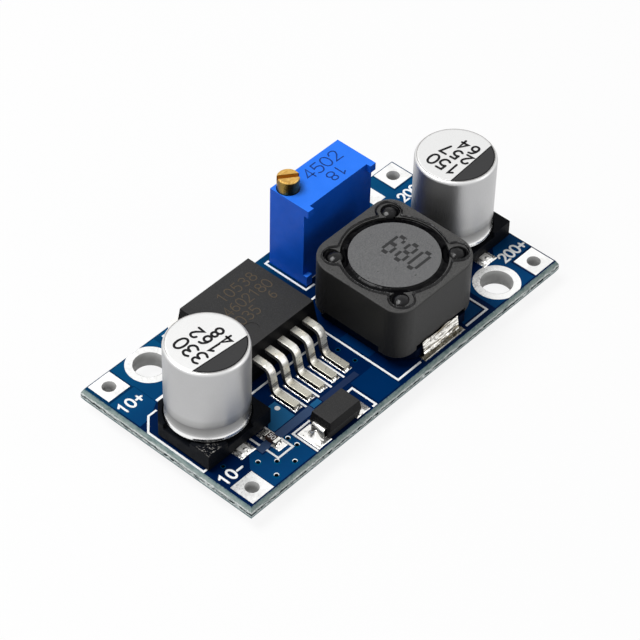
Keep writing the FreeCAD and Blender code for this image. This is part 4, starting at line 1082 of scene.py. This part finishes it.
def buildHoleWalls():
    bm = bmesh.new()
    low, high = lowOf("wire_pads").z, highOf("wire_pads").z
    outward, inward = 0.01, -holes["skin"]
    for radius, centres in (holes["mounting"], holes["wire"]):
        for x, y in centres:
            rings = []
            for grow, z in ((outward, low), (outward, high), (inward, high), (inward, low)):
                spots = onBoard(circle(x, y, radius + grow, 64))
                rings.append([bm.verts.new((*spot.xy, z)) for spot in spots])
            for first, second in zip(rings, rings[1:] + rings[:1]):
                for step in range(64):
                    after = (step + 1) % 64
                    bm.faces.new((first[step], first[after], second[after], second[step]))
    addPiece("hole_plating", bm, "holeTin", smooth=True)


def buildSparePad():
    # what shows of a pad behind the input capacitor
    bm = bmesh.new()
    addPlate(bm, onBoard([(3.42, 14.4), (5.4, 14.4), (5.4, 15.22), (3.42, 15.22)]), upBy(0.06))
    addPiece("input_pad_edge", bm, "tin")


buildPours()
buildVias()
buildSparePad()
buildBoardPrint()
buildHoleWalls()
print("board printed")


# prints on the cans
canPrint = {
    "chord": 1.8,  # how far the dark field's straight edge lies from the can's axis
    "fieldRadius": 3.62, "fieldPen": 0.12,
    "rimRadius": 3.74, "rimPen": 0.06,
    "textPen": 0.235,
}
canTexts = {  # degrees the print is turned by; rows of text, across, along, height and spacing
    "input": (-4.4, [
        ("330", -1.72, 0.22, 1.45, 0.84), ("162", 0.12, 0.26, 1.20, 1.00),
        ("48", 1.52, -0.36, 1.20, 1.05),
    ]),
    "output": (3.6, [
        ("150", -1.80, 0.19, 1.40, 0.82), ("257", 0.08, 0.00, 1.20, 0.98),
        ("64", 1.60, -0.32, 1.20, 1.02),
    ]),
}


def topPlace(node, x=None, y=None):
    # On a node's top face: its middle, or over a place on the board.
    spot = middle(node) if x is None else at(x, y)
    spot.z = highOf(node).z
    return spot


def buildCanPrint(side):
    tilt, rows = canTexts[side]
    centre = topPlace(f"{side}_capacitor_can")
    turn = Matrix.Rotation(math.radians(tilt), 3, "Z")
    lift = upBy(0.012)
    reach = canPrint["fieldRadius"]
    half = math.acos(canPrint["chord"] / reach)
    turns = [half * (step / 20 - 1) for step in range(41)]
    field = [(reach * math.sin(angle), -reach * math.cos(angle)) for angle in turns]

    def onTop(point):
        return centre + turn @ Vector((*point, 0)) * mm

    bm = bmesh.new()
    addPlate(bm, map(onTop, field), lift)
    addPiece(f"{side}_can_field", bm, "greyInk")

    bm = bmesh.new()
    addStroke(bm, field, canPrint["fieldPen"], onTop, lift * 1.5, closed=True)
    along, up = turn @ Vector((0, 1, 0)), turn @ Vector((-1, 0, 0))
    for text, x, y, height, pitch in rows:
        pen = canPrint["textPen"]
        addText(bm, text, onTop((x, y)), height, pen, along, up, lift * 1.5, pitch)
    addPiece(f"{side}_can_print", bm, "blackInk")

    bm = bmesh.new()
    rim = circle(0, 0, canPrint["rimRadius"], 96)
    addStroke(bm, rim, canPrint["rimPen"], onTop, lift * 0.4, closed=True)
    addPiece(f"{side}_can_rim_line", bm, "paleInk")


for side in sides:
    buildCanPrint(side)


# numbers on the inductor, trimmer, regulator and resistor
cellDigits = {
    "6": (".##.", "#..#", "#...", "###.", "#..#", "#..#", ".##."),
    "8": (".##.", "#..#", "#..#", ".##.", "#..#", "#..#", ".##."),
    "0": (".##.", "#..#", "#..#", "#..#", "#..#", "#..#", ".##."),
}
inductorText = {"text": "680", "start": (-0.55, 1.55), "pitch": -1.56, "cell": (0.43, -0.30)}
trimmerRows = [  # text, place, height, spacing, way it reads
    ("4502", (29.63, 18.63), 1.35, 0.89, 1), ("18", (29.70, 16.84), 1.2, 0.92, -1),
]
regulatorRows = [  # text, place, height, spacing
    ("10538", (15.90, 16.77), 1.15, 0.86), ("4602180", (15.60, 15.12), 1.15, 0.76),
    ("035", (13.97, 13.50), 1.15, 0.82), ("6", (17.5, 13.75), 0.95, 0.8),
]


def buildNumbers():
    thin = upBy(0.01)
    x, y = inductorText["start"]
    up, along = inductorText["cell"]
    bm = bmesh.new()
    for number, digit in enumerate(inductorText["text"]):
        corner = Vector((x, y + inductorText["pitch"] * number, 0)) * mm
        addCells(
            bm, cellDigits[digit], topPlace("inductor_core") + corner,
            Vector((0, along * mm, 0)), Vector((up * mm, 0, 0)), thin,
        )
    addPiece("inductor_number", bm, "digitInk")

    bm = bmesh.new()
    for text, spot, height, pitch, way in trimmerRows:
        place = topPlace("trimmer_housing", *spot)
        addText(bm, text, place, height, 0.13, (way, 0, 0), (0, way, 0), thin, pitch, 1.15)
    addPiece("trimmer_number", bm, "blueInk")

    bm = bmesh.new()
    for text, spot, height, pitch in regulatorRows:
        place = topPlace("regulator_body", *spot)
        addText(bm, text, place, height, 0.11, (1, 0, 0), (0, 1, 0), thin * 0.5, pitch)
    addPiece("regulator_number", bm, "brownInk")

    bm = bmesh.new()
    place = topPlace("resistor_body")
    addText(bm, "50", place, 0.46, 0.075, (0, -1, 0), (1, 0, 0), thin * 0.5)
    addPiece("resistor_number", bm, "whiteInk")


buildNumbers()
print("numbers printed")


# glue round the inductor's drum
glue = {
    "inner": 4.30, "lip": 5.26,  # mm from the drum's axis
    "wells": [(-3.93, 3.89), (4.22, -3.98), (-4.03, -4.36), (4.09, 4.28)],
    "wellLip": 1.16, "dome": 0.90, "domeHeight": 0.43,
    "ridge": 0.27, "trough": -0.22, "swell": 0.14, "moat": 0.32,  # heights about the drum's face
    "lowest": -0.38, "floor": -0.42,
    "reach": 5.75, "step": 0.05,
}


def bell(distance, width):
    return math.exp(-(distance / width) ** 2)


def buildGlue():
    centre = topPlace("inductor_core")

    def heightAt(x, y):
        across, along = (x - centre.x) / mm, (y - centre.y) / mm
        radius = math.hypot(across, along)
        wobble = 0.06 * ripple(x, y, 1.4, 3.0) + 0.03 * ripple(x, y, 0.4, 9.0)
        away = min(math.hypot(across - wellX, along - wellY) for wellX, wellY in glue["wells"])
        # how far outside the lip, which runs round the drum and out round each corner
        drum, well = radius - glue["lip"], away - glue["wellLip"]
        seam = max(0.0, 0.35 - abs(drum - well)) / 0.35
        lip = min(drum, well) - seam * seam * 0.09 + wobble
        corner = bell(away, 1.7)
        torn = 0.16 * corner * (0.5 + ripple(x, y, 0.28, 5.0))
        inner = radius - glue["inner"] + torn + 0.5 * wobble
        if lip > 0.30 or inner < 0:
            return None
        ridge = glue["ridge"] * bell(lip, 0.11)
        if lip > 0:
            return centre.z + (ridge - 0.18 * lip) * mm
        height = ridge + glue["trough"] + 0.06 * ripple(x, y, 0.8, 2.0) * (1 - corner)
        # a broad low swell on the inside of the trough, sloping up to the drum's face
        height += glue["swell"] * bell(inner, 0.20) + 0.02 * ripple(x, y, 0.3, 6.0)
        height -= glue["moat"] * bell(away - 1.15, 0.30) * bell(radius - 4.85, 0.36)
        if away < glue["dome"]:
            height += glue["domeHeight"] * (1 - (away / glue["dome"]) ** 2.2)
        return centre.z + max(glue["lowest"], height) * mm

    corner = Vector((glue["reach"], glue["reach"], 0)) * mm
    floor = centre.z + glue["floor"] * mm
    bm = bmesh.new()
    addRelief(bm, centre - corner, centre + corner, glue["step"] * mm, heightAt, floor)
    addPiece("glue_ring", bm, "glue", ["inductor_glue"], smooth=True)


buildGlue()
print("glue laid")


# solder; heights and widths in mm above and along the pads
def padRelief(bm, low, high, metal, rise, reach, seed, crown=0.04, lump=0.02, domes=()):
    # Solder over one pad, climbing the metal on it (boxes of low and high corners).
    def heightAt(x, y):
        inside = min(x - low[0], high[0] - x, y - low[1], high[1] - y) / mm
        border = min(1.0, max(0.0, inside) / 0.10)
        height = crown * border ** 0.6 + 0.004
        near = min(outsideBox(x, y, *corners) for corners in metal)
        height += rise * math.exp(-near / reach) * min(1.0, border * 1.3)
        for domeX, domeY, tall, wideX, wideY in domes:
            height += tall * bell((x - domeX) / mm, wideX) * bell((y - domeY) / mm, wideY)
        height += lump * ripple(x, y, 0.42, seed) * border
        return padTop + max(0.004, height) * mm

    addRelief(bm, low, high, 0.05 * mm, heightAt, padTop - 0.001 * mm)


def domesAt(x, y, rows, sign=1):
    # rows are mm across and along from a spot, a height and two widths
    return [(x + sign * across * mm, y + along * mm, *shape) for across, along, *shape in rows]


def padBox(centreX, width, firstY, secondY):
    # the low and high corners of a pad, its width in mm
    half = width / 2 * mm
    return (centreX - half, min(firstY, secondY)), (centreX + half, max(firstY, secondY))


leadSolder = {
    "pitch": 1.7, "width": 1.05, "front": 0.25, "back": 2.9,  # the pad, from the lead's toe
    "foot": (0.8, 2.75),
    "domes": [(0.02, -0.08, 0.24, 0.16, 0.10), (0.0, 2.72, 0.30, 0.30, 0.14)],  # toe and heel
    "gapShadeLines": [(0.39, 0.435), (0.470, 0.495)],  # near and far edge, from the lead's middle
    "toeShadeSpot": [(0.20, 0.0), (0.40, 0.0), (0.36, -0.12)],
    "gapShadeHeight": 0.045,
}


def buildLeadSolder():
    bm, flux = bmesh.new(), bmesh.new()
    dark, thin = padTop + leadSolder["gapShadeHeight"] * mm, upBy(0.012)
    toe = lowOf("regulator_lead_1").y
    for number in range(5):
        x = middle("regulator_lead_1").x + number * leadSolder["pitch"] * mm
        back = toe + leadSolder["back"] * mm
        low, high = padBox(x, leadSolder["width"], toe - leadSolder["front"] * mm, back)
        width, length = leadSolder["foot"]
        foot = padBox(x, width, toe, toe + length * mm)
        domes = domesAt(x, toe, leadSolder["domes"])
        padRelief(bm, low, high, [foot], 0.03, 0.05, number * 3.7, 0.02, 0.008, domes)
        # painted shadow: dark strips along each side of the lead, where the gap beside its foot is
        # shaded, and a dark spot at either side of its toe
        for side in (-1, 1):
            shapes = [
                ([(near, 0.06), (far, 0.02), (far, 2.5), (near, 2.6)], dark)
                for near, far in leadSolder["gapShadeLines"]
            ]
            shapes.append((leadSolder["toeShadeSpot"], dark + 0.01 * mm))
            for shape, z in shapes:
                spots = [(x + side * across * mm, toe + along * mm, z) for across, along in shape]
                addPlate(flux, spots, thin)
    addPiece("lead_gap_shade", flux, "flux")
    addPiece("lead_solder", bm, "solder", ["regulator_solder"], smooth=True)


diodeSolder = {
    "past": 1.0, "length": 1.8, "halfWidth": 1.375, "shift": 0.2,
    "domes": [(0.05, -0.1, 0.60, 0.30, 0.42), (0.30, -0.3, 0.14, 0.35, 0.9)],
}


def buildDiodeSolder():
    bm = bmesh.new()
    y = middle("diode_body").y + diodeSolder["shift"] * mm
    half = diodeSolder["halfWidth"] * mm
    for side, sign in zip(sides, (-1, 1)):
        strap = boxOf(f"diode_strap_{side}_side")
        edge = strap[sign > 0].x
        outer = edge + sign * diodeSolder["past"] * mm
        inner = outer - sign * diodeSolder["length"] * mm
        low, high = (min(outer, inner), y - half), (max(outer, inner), y + half)
        domes = domesAt(edge, y, diodeSolder["domes"], sign)
        padRelief(bm, low, high, [strap], 0.14, 0.10, 11 + sign, 0.05, 0.035, domes)
    addPiece("diode_solder_lumps", bm, "solder", ["diode_solder"], smooth=True)


def buildCapacitorSolder(side):
    bm = bmesh.new()
    x = middle(f"{side}_capacitor_can").x
    for end, sign in zip(ends, (-1, 1)):
        lead = boxOf(f"{side}_capacitor_lead_{end}")
        tip = lead[sign > 0].y
        outer = tip + sign * 0.3 * mm
        low, high = padBox(x, 1.9, outer, outer - sign * 1.4 * mm)
        bar = (x, tip - sign * 0.25 * mm, 0.20, 0.42, 0.42)
        padRelief(bm, low, high, [lead], 0.10, 0.12, 21 + sign, lump=0.03, domes=[bar])
    hides = [f"{side}_capacitor_solder"]
    addPiece(f"{side}_lead_solder", bm, "solder", hides, smooth=True)


def buildResistorSolder():
    bm = bmesh.new()
    caps = boxOf("resistor_ends")
    x = middle("resistor_ends").x
    for sign in (-1, 1):
        edge = caps[sign > 0].y
        low, high = padBox(x, 1.2, edge, edge + sign * 0.65 * mm)
        heap = (x, edge, 0.30, 0.22, 0.24)
        padRelief(bm, low, high, [caps], 0.16, 0.10, 31 + sign, lump=0.03, domes=[heap])
    addPiece("resistor_solder_lumps", bm, "solder", ["resistor_solder"], smooth=True)


clips = {
    "profile": [  # out from the shield and up from the pad
        (0.16, 0.10), (0.30, 0.22), (0.38, 0.38), (0.36, 0.56), (0.31, 0.76),
        (0.31, 0.98), (0.28, 1.22), (0.24, 1.46), (0.19, 1.72), (0.17, 1.96),
    ],
    "width": 5.0, "shift": -0.25, "columns": 84, "lean": 1.6,
    "thickness": (0.12, 0.004),
    "padWidth": 5.75, "padOut": 0.7, "padIn": 0.6,
}


def crumpledColumn(across, line, sign):
    # one upright row of places across the strip, each out from the shield and up from the pad
    column = []
    for index, point in enumerate(line):
        share = index / (len(line) - 1)
        slant = (across + clips["lean"] * share) * mm
        crease = 0.13 * ripple(slant * 0.30, share * 1.9 * mm, 0.42, 40 + sign)
        crease += 0.05 * ripple(slant * 0.7, share * 3.0 * mm, 0.3, 50 + sign)
        crease *= math.sin(min(1.0, share * 1.15 + 0.08) * math.pi) ** 0.5
        high = point.y + 0.4 * crease + 0.08 * ripple(across * mm, 0, 1.3, 60) * share
        high += 0.06 * share * math.sin(2.2 * across)
        column.append((point.x + crease, max(0.01, high)))
    return column


def buildClips():
    # The inductor's terminals: tinned strips, crumpled where they fold up from the board.
    low, high = boxOf("inductor_shield")
    x = (low.x + high.x) / 2
    line = smoothLine(clips["profile"], steps=4)
    thick, sag = clips["thickness"]
    for end, sign, edge in zip(ends, (-1, 1), (low.y, high.y)):
        bm = bmesh.new()
        sheet = []
        for step in range(clips["columns"] + 1):
            across = (step / clips["columns"] - 0.5) * clips["width"] + clips["shift"]
            sheet.append([
                bm.verts.new((x + across * mm, edge + sign * out * mm, padTop + up * mm))
                for out, up in crumpledColumn(across, line, sign)
            ])
        faces = [
            bm.faces.new((left[row], right[row], right[row + 1], left[row + 1]))
            for left, right in zip(sheet, sheet[1:]) for row in range(len(line) - 1)
        ]
        thicken(bm, faces, Vector((0, -sign * thick, -sag)) * mm)
        hides = [f"inductor_clip_{end}"]
        addPiece(f"inductor_tab_{end}", bm, "crumple", hides, smooth=True)

    bm, rims = bmesh.new(), bmesh.new()
    for sign, edge in ((-1, low.y), (1, high.y)):
        outer, inner = edge + sign * clips["padOut"] * mm, edge - sign * clips["padIn"] * mm
        pad = padBox(x, clips["padWidth"], outer, inner)
        wall = padBox(x, clips["padWidth"], edge - 0.2 * mm, edge + 0.2 * mm)
        padRelief(bm, *pad, [wall], 0.10, 0.2, 71 + sign, 0.04, 0.04)
        # a thin bright strip of tin along the pad's front edge
        left, right = pad[0][0] + 0.1 * mm, pad[1][0] - 0.1 * mm
        near, far = outer - sign * 0.02 * mm, outer - sign * 0.08 * mm
        spots = [(left, near), (right, near), (right, far), (left, far)]
        addPlate(rims, [(*spot, padTop + 0.04 * mm) for spot in spots], upBy(0.012))
    addPiece("inductor_pad_rims", rims, "tin")
    addPiece("inductor_pad_solder", bm, "dullSolder", ["inductor_solder"], smooth=True)


buildLeadSolder()
buildDiodeSolder()
for side in sides:
    buildCapacitorSolder(side)
buildResistorSolder()
buildClips()
print("solder laid")
